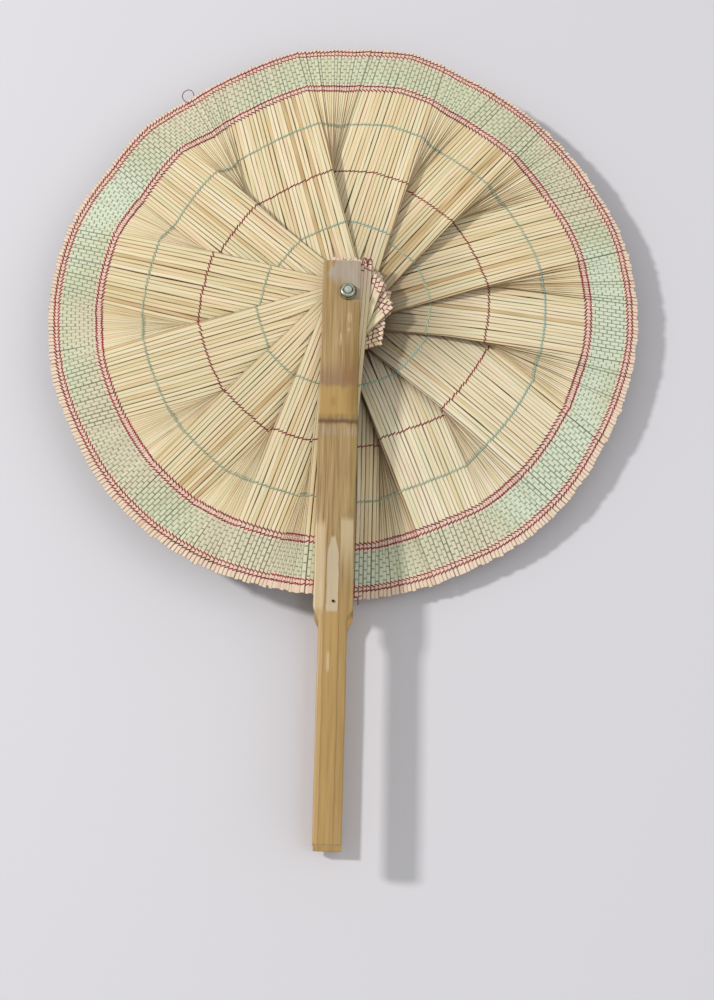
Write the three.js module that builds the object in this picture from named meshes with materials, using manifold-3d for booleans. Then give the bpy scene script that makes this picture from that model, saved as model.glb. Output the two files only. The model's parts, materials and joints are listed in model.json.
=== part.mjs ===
// A round folding hand fan of split bamboo sticks, held between two bamboo handle halves.
// Millimetres. The fan lies open on its back: +Z is the front, the handle runs toward -Y.
// The origin is on the pivot axis, at the flat outer face of the bolt head at the back.
// Angles open clockwise, seen from the front, from the handle's direction.
import * as THREE from "three";
import { mergeVertices } from "three/addons/utils/BufferGeometryUtils.js";
import Module from "manifold-3d";

const wasm = await Module();
wasm.setup();

// Clearances
const runningGap = 0.15; // between neighbouring layers of the folded mat
const seatGap = 0.2; // between parts that press on each other at the pivot and handles
const boreClearance = 0.3; // on the radius, around the bolt
const bradClearance = 0.25; // on the radius, around a brad

// Mat of split sticks
const stickPitch = 1.84; // from one stick to the next along a thread row
const stickThickness = 0.5;
const stickEdgeDrop = 0.2; // how far a stick's rounded edges lie below its crown
const starterSticks = 10; // sticks of the first panel, on the front handle half
const starterLean = 3.5; // how far the first panel already leans open, under the front handle half
const pleatSticks = [12, 15, 19, 20, 18, 23, 20, 16, 21, 16, 22, 18, 14]; // in each wall of a pleat
const foldOffset = 8.8; // from the pivot axis to the ridge fold of every panel
const waistHalfWidth = 1.2; // half of a return wall where its sticks cross
const returnUnderParts = 4; // straight parts across the underside of a return wall
const sideReach = 137; // from the pivot axis to the rim, taken all round
const innerTail = 16.8; // from the pivot axis to the inner stick ends, taken all round
const downShift = 2.2; // how far the open disc hangs toward the handle
const leftShift = 1.95; // how far the open disc hangs to the left
const fullTurn = 360;

// Handle halves
const handleAbovePivot = 16;
const handleToLeft = 3; // from the pivot axis to the centre line of the halves
const handleWidth = 17.4;
const handleThickness = 3.8;
const shoulderPastRim = 7.8; // from the rim down to the start of the shoulders
const shoulderLength = 7;
const gripLength = 95;
const gripWidth = 12.4;
const edgeEase = 0.6; // bevel on the long edges

// Pivot hardware
const shankDiameter = 3.9;
const headDiameter = 8.4;
const headThickness = 1.6;
const washerDiameter = 8.3;
const washerThickness = 0.8;
const nutDiameter = 6.3;
const nutThickness = 1.7;
const studStandOut = 0.7; // bolt end beyond the nut
const metalChamfer = 0.35;

// Brads, one through each handle half just past the rim, for the thread ends
const bradPastRim = 6.3;
const bradShank = 1.1;
const bradHead = 2.2;
const bradHeadHeight = 0.45;
const bradTipOut = 0.6; // shank end beyond the inner face of the half

// Sides of round cuts and turned pieces
const boreSides = 12;
const bradSides = 8;
const hardwareSides = 24;

const stickLength = sideReach + innerTail;
const rimAtHandle = sideReach + downShift;
const shoulderStart = rimAtHandle + shoulderPastRim;
const bradFromPivot = rimAtHandle + bradPastRim;
const layerPitch = stickThickness + runningGap;
const boreRadius = shankDiameter / 2 + boreClearance;
const bradBore = bradShank / 2 + bradClearance;
const lastPanel = pleatSticks.length;
const matLayers = 2 * lastPanel + 1;

// Heights of the stack, from the back to the front
const backWasherZ = headThickness + seatGap;
const backHandleZ = backWasherZ + washerThickness + seatGap;
const matZ = backHandleZ + handleThickness + seatGap;
const matTopZ = matZ + matLayers * layerPitch - runningGap;
const frontHandleZ = matTopZ + seatGap;
const frontWasherZ = frontHandleZ + handleThickness + seatGap;
const nutZ = frontWasherZ + washerThickness + seatGap;
const studEndZ = nutZ + nutThickness + studStandOut;

const radians = (degrees) => (degrees * Math.PI) / 180;
const pad = (number) => String(number).padStart(2, "0");

// The opening angle of each panel: every pleat takes a share of the turn like its share of the sticks.
const allPleatSticks = pleatSticks.reduce((sum, count) => sum + count, 0);
const openings = [starterLean];
let openSticks = 0;
for (const count of pleatSticks) {
  openSticks += count;
  openings.push((fullTurn * openSticks) / allPleatSticks);
}

// Where a panel of the given number of sticks has its valley fold, across the sticks.
function valleyOf(count) {
  return foldOffset - count * stickPitch;
}

// How far the stick ends reach from the pivot axis at an opening angle.
function reachAt(angle) {
  return sideReach + downShift * Math.cos(radians(angle)) + leftShift * Math.sin(radians(angle));
}

// A plan point: along a stick that is opened by an angle, and across it, clockwise.
function planPoint(angle, along, across) {
  const a = radians(angle);
  return new THREE.Vector2(
    -along * Math.sin(a) - across * Math.cos(a),
    -along * Math.cos(a) + across * Math.sin(a),
  );
}

// The height of panel number i and of the return wall that follows it. The front panel is on top.
function panelZ(i) {
  return matZ + 2 * (lastPanel - i) * layerPitch;
}
function returnZ(i) {
  return panelZ(i) - layerPitch;
}

// Solids for cutting, from closed geometry
function solidFrom(geometry) {
  const bare = geometry.clone();
  bare.deleteAttribute("normal");
  bare.deleteAttribute("uv");
  const merged = mergeVertices(bare, 1e-4);
  return new wasm.Manifold(
    new wasm.Mesh({
      numProp: 3,
      vertProperties: merged.attributes.position.array,
      triVerts: new Uint32Array(merged.index.array),
    }),
  );
}

function geometryFrom(solid) {
  const mesh = solid.getMesh();
  const geometry = new THREE.BufferGeometry();
  const corners = new Float32Array(mesh.numVert * 3);
  for (let i = 0; i < mesh.numVert; i++) {
    const start = i * mesh.numProp;
    corners.set(mesh.vertProperties.subarray(start, start + 3), i * 3);
  }
  geometry.setAttribute("position", new THREE.BufferAttribute(corners, 3));
  geometry.setIndex(new THREE.BufferAttribute(mesh.triVerts, 1));
  const flat = geometry.toNonIndexed();
  flat.computeVertexNormals();
  return flat;
}

// A round cutter on the pivot axis, from one height to another
function roundCutter(radius, fromZ, toZ, sides) {
  const cutter = new THREE.CylinderGeometry(radius, radius, toZ - fromZ, sides);
  cutter.rotateX(Math.PI / 2);
  cutter.translate(0, 0, (fromZ + toZ) / 2);
  return solidFrom(cutter);
}

// A turned piece: points of [radius, height] that start and end on the axis, or close on themselves.
function turned(points, sides) {
  const profile = points.map(([radius, height]) => new THREE.Vector2(radius, height));
  const geometry = new THREE.LatheGeometry(profile, sides);
  geometry.rotateX(Math.PI / 2);
  return geometry;
}

// The triangles that close the strip between two rows of points, each spread evenly over the same width.
function stitchRows(rowA, rowB) {
  const faces = [];
  let a = 0;
  let b = 0;
  const lastA = rowA.length - 1;
  const lastB = rowB.length - 1;
  while (a < lastA || b < lastB) {
    if (b === lastB || (a < lastA && (a + 1) * lastB <= (b + 1) * lastA)) {
      faces.push(rowA[a], rowA[a + 1], rowB[b]);
      a++;
    } else {
      faces.push(rowA[a], rowB[b + 1], rowB[b]);
      b++;
    }
  }
  return faces;
}

// A thin wall of sticks lofted between stations. A station gives the plan point at a place t from 0 to 1
// across the wall and says whether the sticks stand apart there. Each stick has a crown between two
// lower edges. The flat underside has its own, fewer parts across.
function stickWall(stations, count, bottomZ, underParts) {
  const positions = [];
  const addRow = (station, parts, heightAt) => {
    const row = [];
    for (let place = 0; place <= parts; place++) {
      const point = station.at(place / parts);
      row.push(positions.length / 3);
      positions.push(point.x, point.y, heightAt(place));
    }
    return row;
  };
  const rows = stations.map((station) => ({
    top: addRow(station, 2 * count, (place) => {
      const isEdge = place % 2 === 0 && station.sticksApart;
      return bottomZ + stickThickness - (isEdge ? stickEdgeDrop : 0);
    }),
    under: addRow(station, underParts, () => bottomZ),
  }));
  const faces = [];
  for (let s = 0; s + 1 < rows.length; s++) {
    const [near, far] = [rows[s], rows[s + 1]];
    faces.push(...stitchRows(near.top, far.top));
    faces.push(...stitchRows(far.under, near.under));
    faces.push(...stitchRows([near.under[0], far.under[0]].reverse(), [near.top[0], far.top[0]].reverse()));
    faces.push(...stitchRows([near.under.at(-1), far.under.at(-1)], [near.top.at(-1), far.top.at(-1)]));
  }
  faces.push(...stitchRows(rows[0].under, rows[0].top));
  faces.push(...stitchRows(rows.at(-1).top, rows.at(-1).under));
  const geometry = new THREE.BufferGeometry();
  geometry.setAttribute("position", new THREE.Float32BufferAttribute(positions, 3));
  geometry.setIndex(faces);
  return geometry;
}

// Materials
const materials = {
  straw: new THREE.MeshStandardMaterial({ color: 0xe0c894, roughness: 0.72, metalness: 0 }),
  shadedStraw: new THREE.MeshStandardMaterial({ color: 0xcdb27c, roughness: 0.75, metalness: 0 }),
  bamboo: new THREE.MeshStandardMaterial({ color: 0xab8755, roughness: 0.5, metalness: 0 }),
  steel: new THREE.MeshStandardMaterial({ color: 0xc9ccd0, roughness: 0.28, metalness: 1 }),
  darkSteel: new THREE.MeshStandardMaterial({ color: 0x6f7275, roughness: 0.4, metalness: 1 }),
};

const fan = new THREE.Group();

function addPiece(name, geometry, material) {
  const mesh = new THREE.Mesh(geometry, material);
  mesh.name = name;
  fan.add(mesh);
}

// A panel: parallel sticks, opened together by one angle.
function panelGeometry(i) {
  const count = i === 0 ? starterSticks : pleatSticks[i - 1];
  const angle = openings[i];
  const valley = valleyOf(count);
  const outer = reachAt(angle);
  const rowAt = (along) => ({
    sticksApart: true,
    at: (t) => planPoint(angle, along, valley + t * count * stickPitch),
  });
  return stickWall([rowAt(outer - stickLength), rowAt(outer)], count, panelZ(i), 1);
}

// A return wall: from the ridge of one panel to the valley of the next, each stick opened a little
// more than the one before, so that all of them cross at a waist.
function returnGeometry(i) {
  const count = pleatSticks[i];
  const opening = openings[i + 1] - openings[i];
  const across = (u) => foldOffset - u * count * stickPitch;
  const angleAt = (u) => openings[i] + u * opening;
  const endAt = (u, fromOuterEnd) => {
    const along = reachAt(angleAt(u)) - fromOuterEnd;
    return planPoint(angleAt(u), along, across(u));
  };
  const waistAlong = (count * stickPitch) / radians(opening);
  const middle = angleAt(0.5);
  const stations = [
    { sticksApart: true, at: (t) => endAt(1 - t, stickLength) },
    {
      sticksApart: false,
      at: (t) => planPoint(middle, waistAlong, across(0.5) + waistHalfWidth * (2 * t - 1)),
    },
    { sticksApart: true, at: (t) => endAt(t, 0) },
  ];
  return stickWall(stations, count, returnZ(i), returnUnderParts);
}

// A wall of the mat with the bore for the bolt cut through it
function boredWall(geometry, bottomZ) {
  const wall = solidFrom(geometry);
  const low = bottomZ - layerPitch;
  const high = bottomZ + 2 * layerPitch;
  return geometryFrom(wall.subtract(roundCutter(boreRadius, low, high, boreSides)));
}

for (let i = 0; i <= lastPanel; i++) {
  addPiece(`panel_${pad(i)}`, boredWall(panelGeometry(i), panelZ(i)), materials.straw);
}
for (let i = 0; i < lastPanel; i++) {
  addPiece(`return_${pad(i)}`, boredWall(returnGeometry(i), returnZ(i)), materials.shadedStraw);
}

// A handle half: a flat slat with square ends, narrowed by rounded shoulders to the grip. Its centre
// line runs to the left of the pivot.
function handleShape() {
  const centre = -handleToLeft;
  const half = handleWidth / 2;
  const gripHalf = gripWidth / 2;
  const shoulderEnd = shoulderStart + shoulderLength;
  const middle = (shoulderStart + shoulderEnd) / 2;
  const bottom = shoulderEnd + gripLength;
  const shape = new THREE.Shape();
  const curveTo = (fromX, toX, toY) => shape.bezierCurveTo(fromX, -middle, toX, -middle, toX, -toY);
  shape.moveTo(centre + half, handleAbovePivot);
  shape.lineTo(centre - half, handleAbovePivot);
  shape.lineTo(centre - half, -shoulderStart);
  curveTo(centre - half, centre - gripHalf, shoulderEnd);
  shape.lineTo(centre - gripHalf, -bottom);
  shape.lineTo(centre + gripHalf, -bottom);
  shape.lineTo(centre + gripHalf, -shoulderEnd);
  curveTo(centre + gripHalf, centre + half, shoulderStart);
  shape.closePath();
  const addHole = (x, y, radius) => {
    const hole = new THREE.Path();
    hole.absarc(x, y, radius, 0, 2 * Math.PI, true);
    shape.holes.push(hole);
  };
  addHole(0, 0, boreRadius);
  addHole(centre, -bradFromPivot, bradBore);
  return shape;
}

function handleGeometry(bottomZ) {
  const geometry = new THREE.ExtrudeGeometry(handleShape(), {
    depth: handleThickness - 2 * edgeEase,
    bevelThickness: edgeEase,
    bevelSize: edgeEase,
    bevelOffset: -edgeEase,
    bevelSegments: 1,
    curveSegments: 8,
  });
  geometry.translate(0, 0, bottomZ + edgeEase);
  return geometry;
}
addPiece("back_handle", handleGeometry(backHandleZ), materials.bamboo);
addPiece("front_handle", handleGeometry(frontHandleZ), materials.bamboo);

// The bolt: a low flat head at the back, a shank through the whole stack and a chamfered end.
const shankRadius = shankDiameter / 2;
const headRadius = headDiameter / 2;
addPiece(
  "pivot_bolt",
  turned(
    [
      [0, 0],
      [headRadius - metalChamfer, 0],
      [headRadius, metalChamfer],
      [headRadius, headThickness],
      [shankRadius, headThickness],
      [shankRadius, studEndZ - metalChamfer],
      [shankRadius - metalChamfer, studEndZ],
      [0, studEndZ],
    ],
    hardwareSides,
  ),
  materials.steel,
);

// A ring around the bolt with chamfered outer edges.
function ringGeometry(diameter, bottomZ, thickness) {
  const radius = diameter / 2;
  const topZ = bottomZ + thickness;
  const ease = Math.min(metalChamfer, thickness / 3);
  return turned(
    [
      [boreRadius, bottomZ],
      [radius - ease, bottomZ],
      [radius, bottomZ + ease],
      [radius, topZ - ease],
      [radius - ease, topZ],
      [boreRadius, topZ],
      [boreRadius, bottomZ],
    ],
    hardwareSides,
  );
}
addPiece("back_washer", ringGeometry(washerDiameter, backWasherZ, washerThickness), materials.darkSteel);
addPiece("front_washer", ringGeometry(washerDiameter, frontWasherZ, washerThickness), materials.darkSteel);
addPiece("pivot_nut", ringGeometry(nutDiameter, nutZ, nutThickness), materials.steel);

// A brad: a small domed head on the outer face of a handle half and a pointed shank through it
function bradGeometry() {
  const radius = bradHead / 2;
  const shank = bradShank / 2;
  const length = handleThickness + bradTipOut;
  return turned(
    [
      [0, -length],
      [shank, bradShank - length],
      [shank, seatGap],
      [radius, seatGap],
      [radius, seatGap + bradHeadHeight / 2],
      [radius / 2, seatGap + bradHeadHeight],
      [0, seatGap + bradHeadHeight],
    ],
    bradSides,
  );
}
const frontBrad = bradGeometry();
frontBrad.translate(-handleToLeft, -bradFromPivot, frontHandleZ + handleThickness);
addPiece("front_brad", frontBrad, materials.darkSteel);
const backBrad = bradGeometry();
backBrad.rotateY(Math.PI);
backBrad.translate(-handleToLeft, -bradFromPivot, backHandleZ);
addPiece("back_brad", backBrad, materials.darkSteel);

export default fan;
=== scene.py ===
"""Looks of a round folding hand fan of split bamboo sticks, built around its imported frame.

Sizes are in millimetres and become metres where a mesh is made. +Z is the front of the fan, and the
handle runs toward -Y. Angles open clockwise, seen from the front, from the handle's direction.
"""

import json
import logging
import math
from dataclasses import dataclass, field
from enum import Enum
from typing import Protocol

import bpy
import numpy as np
from mathutils import Matrix, Vector

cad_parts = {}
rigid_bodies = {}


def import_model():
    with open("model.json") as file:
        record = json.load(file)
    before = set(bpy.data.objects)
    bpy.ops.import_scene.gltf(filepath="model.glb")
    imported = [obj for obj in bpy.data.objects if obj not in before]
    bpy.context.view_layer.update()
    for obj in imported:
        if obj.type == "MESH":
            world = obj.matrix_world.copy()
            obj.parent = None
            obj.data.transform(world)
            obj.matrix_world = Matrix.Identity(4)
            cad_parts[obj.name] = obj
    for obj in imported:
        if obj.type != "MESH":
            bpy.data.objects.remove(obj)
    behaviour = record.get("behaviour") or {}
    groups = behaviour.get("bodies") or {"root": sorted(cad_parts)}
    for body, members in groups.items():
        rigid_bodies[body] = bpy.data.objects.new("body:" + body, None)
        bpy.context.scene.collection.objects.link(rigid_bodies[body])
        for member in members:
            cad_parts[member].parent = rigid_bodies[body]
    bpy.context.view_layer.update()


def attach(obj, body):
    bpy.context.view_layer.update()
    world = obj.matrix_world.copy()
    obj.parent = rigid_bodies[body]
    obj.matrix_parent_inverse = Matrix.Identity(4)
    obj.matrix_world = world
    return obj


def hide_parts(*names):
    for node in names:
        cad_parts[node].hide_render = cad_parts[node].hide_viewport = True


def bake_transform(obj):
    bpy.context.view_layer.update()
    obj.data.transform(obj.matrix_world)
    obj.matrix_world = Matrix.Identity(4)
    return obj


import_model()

LOG = logging.getLogger("hand_fan")
MM = 0.001  # metres in a millimetre
FIBRE_UNIT = 100.0  # millimetres in a unit of the sticks' fibre coordinates

Socket = bpy.types.NodeSocket
Colour = tuple[float, float, float, float]
Point = tuple[float, float, float]
Marks = dict[str, np.ndarray]
Border = tuple[float, float]  # where a patch begins to show, and where it is full


# Colours and node graphs


def srgb(red: int, green: int, blue: int) -> Colour:
    """Gives a display colour as the linear colour that a shader takes, by the display standard's curve.

    Args:
        red: Red from 0 to 255.
        green: Green from 0 to 255.
        blue: Blue from 0 to 255.

    Returns:
        The linear red, green, blue and an alpha of 1.
    """
    linear = []
    for channel in (red, green, blue):
        value = channel / 255
        linear.append(value / 12.92 if value <= 0.04045 else ((value + 0.055) / 1.055) ** 2.4)
    return (linear[0], linear[1], linear[2], 1.0)


def between(low: float, high: float, soft: float) -> tuple[Border, Border]:
    """Gives the lower and the upper border of a stretch whose ends are soft for that far either way."""
    return ((low - soft, low + soft), (high + soft, high - soft))


@dataclass(frozen=True)
class Grain:
    """Smooth noise: how many patches there are to a unit on each axis, its finer layers and its slice."""

    stretch: Point
    detail: float = 1.0
    layer: float = 0.0


class NodeGraph:
    """Builds the nodes of one material, one call for each step, and keeps the colour so far."""

    def __init__(self, name: str) -> None:
        """Starts a material with a plain shader.

        Args:
            name: The material's name.
        """
        self.material = bpy.data.materials.new(name)
        self.material.use_nodes = True
        self.tree = self.material.node_tree
        self.shader = self.tree.nodes["Principled BSDF"]
        self.colour: object = None

    def feed(self, socket: Socket, value: object) -> None:
        """Links a value's socket to an input, or sets the input to a constant.

        Args:
            socket: The input.
            value: An output socket, a number, a vector or a colour.
        """
        if isinstance(value, Socket):
            self.tree.links.new(value, socket)
        else:
            socket.default_value = value

    def set(self, socket: str, value: object) -> None:
        """Sets or links one of the shader's inputs."""
        self.feed(self.shader.inputs[socket], value)

    def node(self, kind: str, *values: object) -> bpy.types.Node:
        """Adds a node and feeds its first inputs.

        Args:
            kind: The node's kind.
            values: What its inputs get, in their order.

        Returns:
            The node.
        """
        node = self.tree.nodes.new(f"ShaderNode{kind}")
        for socket, value in zip(node.inputs, values):
            self.feed(socket, value)
        return node

    def attribute(self, name: str) -> Socket:
        """Gives the piece's own number of that name.

        Args:
            name: The attribute's name.

        Returns:
            The number's socket.
        """
        node = self.node("Attribute")
        node.attribute_name = name
        return node.outputs["Fac"]

    def coordinates(self, source: str) -> Socket:
        """Gives the coordinate vector of a source, "Object" or "UV"."""
        return self.node("TexCoord").outputs[source]

    def axes(self, vector: Socket) -> tuple[Socket, ...]:
        """Splits a vector into its three numbers."""
        return tuple(self.node("SeparateXYZ", vector).outputs)

    def joined(self, x: object, y: object, z: object) -> Socket:
        """Joins three numbers into a vector."""
        return self.node("CombineXYZ", x, y, z).outputs[0]

    def math(self, operation: str, *numbers: object) -> Socket:
        """Works out one step of arithmetic.

        Args:
            operation: The name of the operation.
            numbers: One or two numbers or their sockets.

        Returns:
            The result's socket.
        """
        node = self.node("Math", *numbers)
        node.operation = operation
        return node.outputs[0]

    def times(self, first: object, second: object) -> Socket:
        """Multiplies two numbers."""
        return self.math("MULTIPLY", first, second)

    def plus(self, first: object, second: object) -> Socket:
        """Adds two numbers."""
        return self.math("ADD", first, second)

    def minus(self, first: object, second: object) -> Socket:
        """Takes the second number from the first."""
        return self.math("SUBTRACT", first, second)

    def swing(self, noise: object, reach: float) -> Socket:
        """Turns noise from 0 to 1 into a swing round 0, as wide as its reach."""
        return self.times(self.minus(noise, 0.5), reach)

    def rise(self, value: object, begins: float, full: float) -> Socket:
        """Rises smoothly from 0 to 1 across a border.

        Args:
            value: The number's socket.
            begins: Where the result is 0.
            full: Where the result is 1, above or below.

        Returns:
            The result's socket.
        """
        low, high = sorted((begins, full))
        is_up = begins < full
        node = self.node("MapRange", value, low, high, float(not is_up), float(is_up))
        node.interpolation_type = "SMOOTHSTEP"
        return node.outputs["Result"]

    def inside(self, value: object, borders: tuple[Border, ...]) -> object:
        """Gives 1 inside all the borders and 0 outside any of them.

        Args:
            value: The number's socket.
            borders: The borders.

        Returns:
            The result's socket, or 1 without borders.
        """
        share = 1.0
        for border in borders:
            share = self.times(self.rise(value, *border), share)
        return share

    def noise(self, vector: object, grain: Grain) -> Socket:
        """Gives smooth noise from 0 to 1.

        Args:
            vector: The place's socket.
            grain: The noise's grain.

        Returns:
            The noise's socket.
        """
        place = self.node("Mapping", vector)
        place.inputs["Location"].default_value = (0.0, 0.0, grain.layer)
        place.inputs["Scale"].default_value = grain.stretch
        node = self.node("TexNoise", place.outputs["Vector"])
        node.inputs["Scale"].default_value = 1.0
        node.inputs["Detail"].default_value = grain.detail
        return node.outputs["Fac"]

    def mix(self, share: object, first: object, second: object) -> Socket:
        """Mixes two colours.

        Args:
            share: The share of the second colour.
            first: The first colour or its socket.
            second: The second colour or its socket.

        Returns:
            The colour's socket.
        """
        node = self.node("Mix", share)
        node.data_type = "RGBA"
        colours = [socket for socket in node.inputs if socket.type == "RGBA"]
        self.feed(colours[0], first)
        self.feed(colours[1], second)
        return next(socket for socket in node.outputs if socket.type == "RGBA")

    def lay(self, colour: object, where: object, strength: float = 1.0) -> None:
        """Lays a colour over the colour so far, as much as a share and a strength say."""
        self.colour = self.mix(self.times(where, strength), self.colour, colour)

    def ramp(self, factor: object, stops: tuple[tuple[float, Colour], ...]) -> Socket:
        """Runs a number through a row of colours.

        Args:
            factor: The number's socket.
            stops: Places from 0 to 1, each with its colour.

        Returns:
            The colour's socket.
        """
        node = self.node("ValToRGB", factor)
        elements = node.color_ramp.elements
        while len(elements) < len(stops):
            elements.new(1.0)
        for element, (place, colour) in zip(elements, stops):
            element.position = place
            element.color = colour
        return node.outputs["Color"]

    def bump(self, height: object, depth: float, strength: float) -> None:
        """Gives the surface a fine relief.

        Args:
            height: The relief's socket, from 0 to 1.
            depth: The relief's depth in millimetres.
            strength: How much of it shows.
        """
        node = self.node("Bump")
        node.inputs["Strength"].default_value = strength
        node.inputs["Distance"].default_value = depth * MM
        self.feed(node.inputs["Height"], height)
        self.set("Normal", node.outputs["Normal"])

    def finished(self, roughness: object, gloss: object = 0.5) -> bpy.types.Material:
        """Gives the shader the colour so far.

        Args:
            roughness: The roughness or its socket.
            gloss: The strength of its highlights or its socket.

        Returns:
            The finished material.
        """
        self.set("Base Color", self.colour)
        self.set("Roughness", roughness)
        self.set("Specular IOR Level", gloss)
        return self.material


# Finishes


@dataclass(frozen=True)
class StickFinish:
    """Split bamboo: each stick has its own straw tone and long fibres, and a darker split edge that also
    paints shade in the gaps.

    Places are in millimetres from the rim.
    """

    name: str = "split_bamboo_sticks"
    straw_tones: tuple[tuple[float, Colour], ...] = (
        (0.0, srgb(198, 162, 110)),
        (0.3, srgb(230, 203, 150)),
        (0.62, srgb(244, 224, 180)),
        (1.0, srgb(253, 240, 208)),
    )
    band_dyes: tuple[tuple[float, Colour], ...] = (
        (0.38, srgb(224, 214, 186)),
        (0.5, srgb(212, 219, 186)),
        (0.62, srgb(220, 234, 210)),
    )
    greenish: Colour = srgb(226, 222, 178)
    rosy: Colour = srgb(244, 212, 178)
    rim_rose: Colour = srgb(246, 216, 198)
    pair_rose: Colour = srgb(236, 176, 166)
    teal_stain: Colour = srgb(178, 204, 186)
    # Painted shade near the pivot and in the deep folds, where the stack lies in shadow
    soil: Colour = srgb(74, 44, 22)
    # Edge colours: the darker raw split edge, and painted shade in the gaps between sticks
    split_edge: Colour = srgb(108, 66, 20)
    band_edge: Colour = srgb(72, 80, 44)
    fibre_grain: Grain = Grain((6.0, 900.0, 1.0), 4.0)
    patch_grain: Grain = Grain((4.0, 23.0, 1.0), 2.0)
    hue_grain: Grain = Grain((3.0, 11.0, 1.0))
    dye_grain: Grain = Grain((14.0, 14.0, 14.0))
    edge_grain: Grain = Grain((7.0, 60.0, 1.0), 2.0)
    patch_reach: float = 0.5
    fibre_reach: float = 0.35
    greenish_noise: Border = (0.5, 0.38)
    rosy_noise: Border = (0.55, 0.68)
    hue_strength: float = 0.4
    band: tuple[Border, Border] = between(6.8, 22.2, 0.6)
    dye_strength: float = 0.78
    outer_rose: Border = (27.0, 25.0)
    inner_rose: Border = (143.0, 149.0)
    rose_strength: float = 0.6
    crimson_pairs: tuple[tuple[Border, Border], ...] = (between(3.6, 6.1, 0.8), between(22.9, 25.6, 0.8))
    pair_strength: float = 0.22
    teal_rows: tuple[tuple[Border, Border], ...] = (between(44.3, 45.1, 1.3), between(98.0, 98.8, 1.3))
    teal_strength: float = 0.42
    soil_strength: float = 0.9
    least_edge: float = 0.5
    roughness: float = 0.5
    gloss: float = 0.42
    matt_edge: float = 0.4
    relief: float = 0.06
    relief_strength: float = 0.5

    def material(self) -> bpy.types.Material:
        """Builds the material.

        Returns:
            The finished material.
        """
        graph = NodeGraph(self.name)
        fibre_place = graph.coordinates("UV")
        from_rim = graph.times(graph.axes(fibre_place)[0], FIBRE_UNIT)
        fibres = graph.noise(fibre_place, self.fibre_grain)
        in_band = graph.inside(from_rim, self.band)
        self._lay_straw(graph, fibre_place, fibres)
        self._lay_dyes(graph, from_rim, in_band)
        # Painted shade near the pivot and in the deep folds
        graph.lay(self.soil, graph.attribute("soiled"), self.soil_strength)
        # Darker split edges, partly real and partly painted shade in the gaps between sticks
        uneven = graph.plus(graph.noise(fibre_place, self.edge_grain), self.least_edge)
        edge = graph.times(graph.attribute("edge"), uneven)
        graph.lay(graph.mix(in_band, self.split_edge, self.band_edge), edge)
        matt = graph.times(edge, self.matt_edge)
        graph.bump(fibres, self.relief, self.relief_strength)
        return graph.finished(graph.plus(matt, self.roughness), graph.minus(self.gloss, matt))

    def _lay_straw(self, graph: NodeGraph, fibre_place: Socket, fibres: Socket) -> None:
        """Gives the bare sticks their colour.

        Args:
            graph: The material's graph.
            fibre_place: The fibre coordinates.
            fibres: The fibres' noise.
        """
        patches = graph.noise(fibre_place, self.patch_grain)
        shade = graph.plus(graph.attribute("tone"), graph.swing(patches, self.patch_reach))
        shade = graph.plus(shade, graph.swing(fibres, self.fibre_reach))
        graph.colour = graph.ramp(shade, self.straw_tones)
        hue = graph.noise(fibre_place, self.hue_grain)
        graph.lay(self.greenish, graph.rise(hue, *self.greenish_noise), self.hue_strength)
        graph.lay(self.rosy, graph.rise(hue, *self.rosy_noise), self.hue_strength)

    def _lay_dyes(self, graph: NodeGraph, from_rim: Socket, in_band: Socket) -> None:
        """Dyes the band, and stains the sticks' ends and the places beside the coloured threads.

        Args:
            graph: The material's graph.
            from_rim: The distance from the rim.
            in_band: The share of the band's dye.
        """
        dye = graph.ramp(graph.noise(graph.coordinates("Object"), self.dye_grain), self.band_dyes)
        graph.lay(dye, in_band, self.dye_strength)
        ends = [graph.rise(from_rim, *border) for border in (self.outer_rose, self.inner_rose)]
        rose = graph.times(graph.math("MAXIMUM", *ends), graph.minus(1.0, in_band))
        graph.lay(self.rim_rose, rose, self.rose_strength)
        for pair in self.crimson_pairs:
            graph.lay(self.pair_rose, graph.inside(from_rim, pair), self.pair_strength)
        for row in self.teal_rows:
            graph.lay(self.teal_stain, graph.inside(from_rim, row), self.teal_strength)


@dataclass(frozen=True)
class ThreadFinish:
    """Matt sewing thread of two plies, with painted shade at its ends between sticks. One with a fresh
    colour is less faded in places.
    """

    name: str
    colour: Colour
    shadow: Colour
    fresh: Colour | None = None
    ply_grain: Grain = Grain((90.0, 90.0, 1.0), 2.0)
    fading_grain: Grain = Grain((16.0, 16.0, 16.0))
    fresh_noise: Border = (0.52, 0.66)
    fresh_strength: float = 0.7
    shadow_place: float = 0.15
    colour_place: float = 0.65
    seam_strength: float = 0.85
    roughness: float = 0.8
    gloss: float = 0.25
    fuzz: float = 0.25
    relief: float = 0.08
    relief_strength: float = 0.6

    def material(self) -> bpy.types.Material:
        """Builds the material.

        Returns:
            The finished material.
        """
        graph = NodeGraph(self.name)
        plies = graph.noise(graph.coordinates("UV"), self.ply_grain)
        shade = graph.times(graph.plus(plies, graph.attribute("tone")), 0.5)
        stops = ((self.shadow_place, self.shadow), (self.colour_place, self.colour))
        graph.colour = graph.ramp(shade, stops)
        if self.fresh:
            fading = graph.noise(graph.coordinates("Object"), self.fading_grain)
            graph.lay(self.fresh, graph.rise(fading, *self.fresh_noise), self.fresh_strength)
        # Painted shade at each stretch's ends, where the thread dips between sticks
        graph.lay(self.shadow, graph.attribute("edge"), self.seam_strength)
        graph.set("Sheen Weight", self.fuzz)
        graph.bump(plies, self.relief, self.relief_strength)
        return graph.finished(self.roughness, self.gloss)


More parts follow.
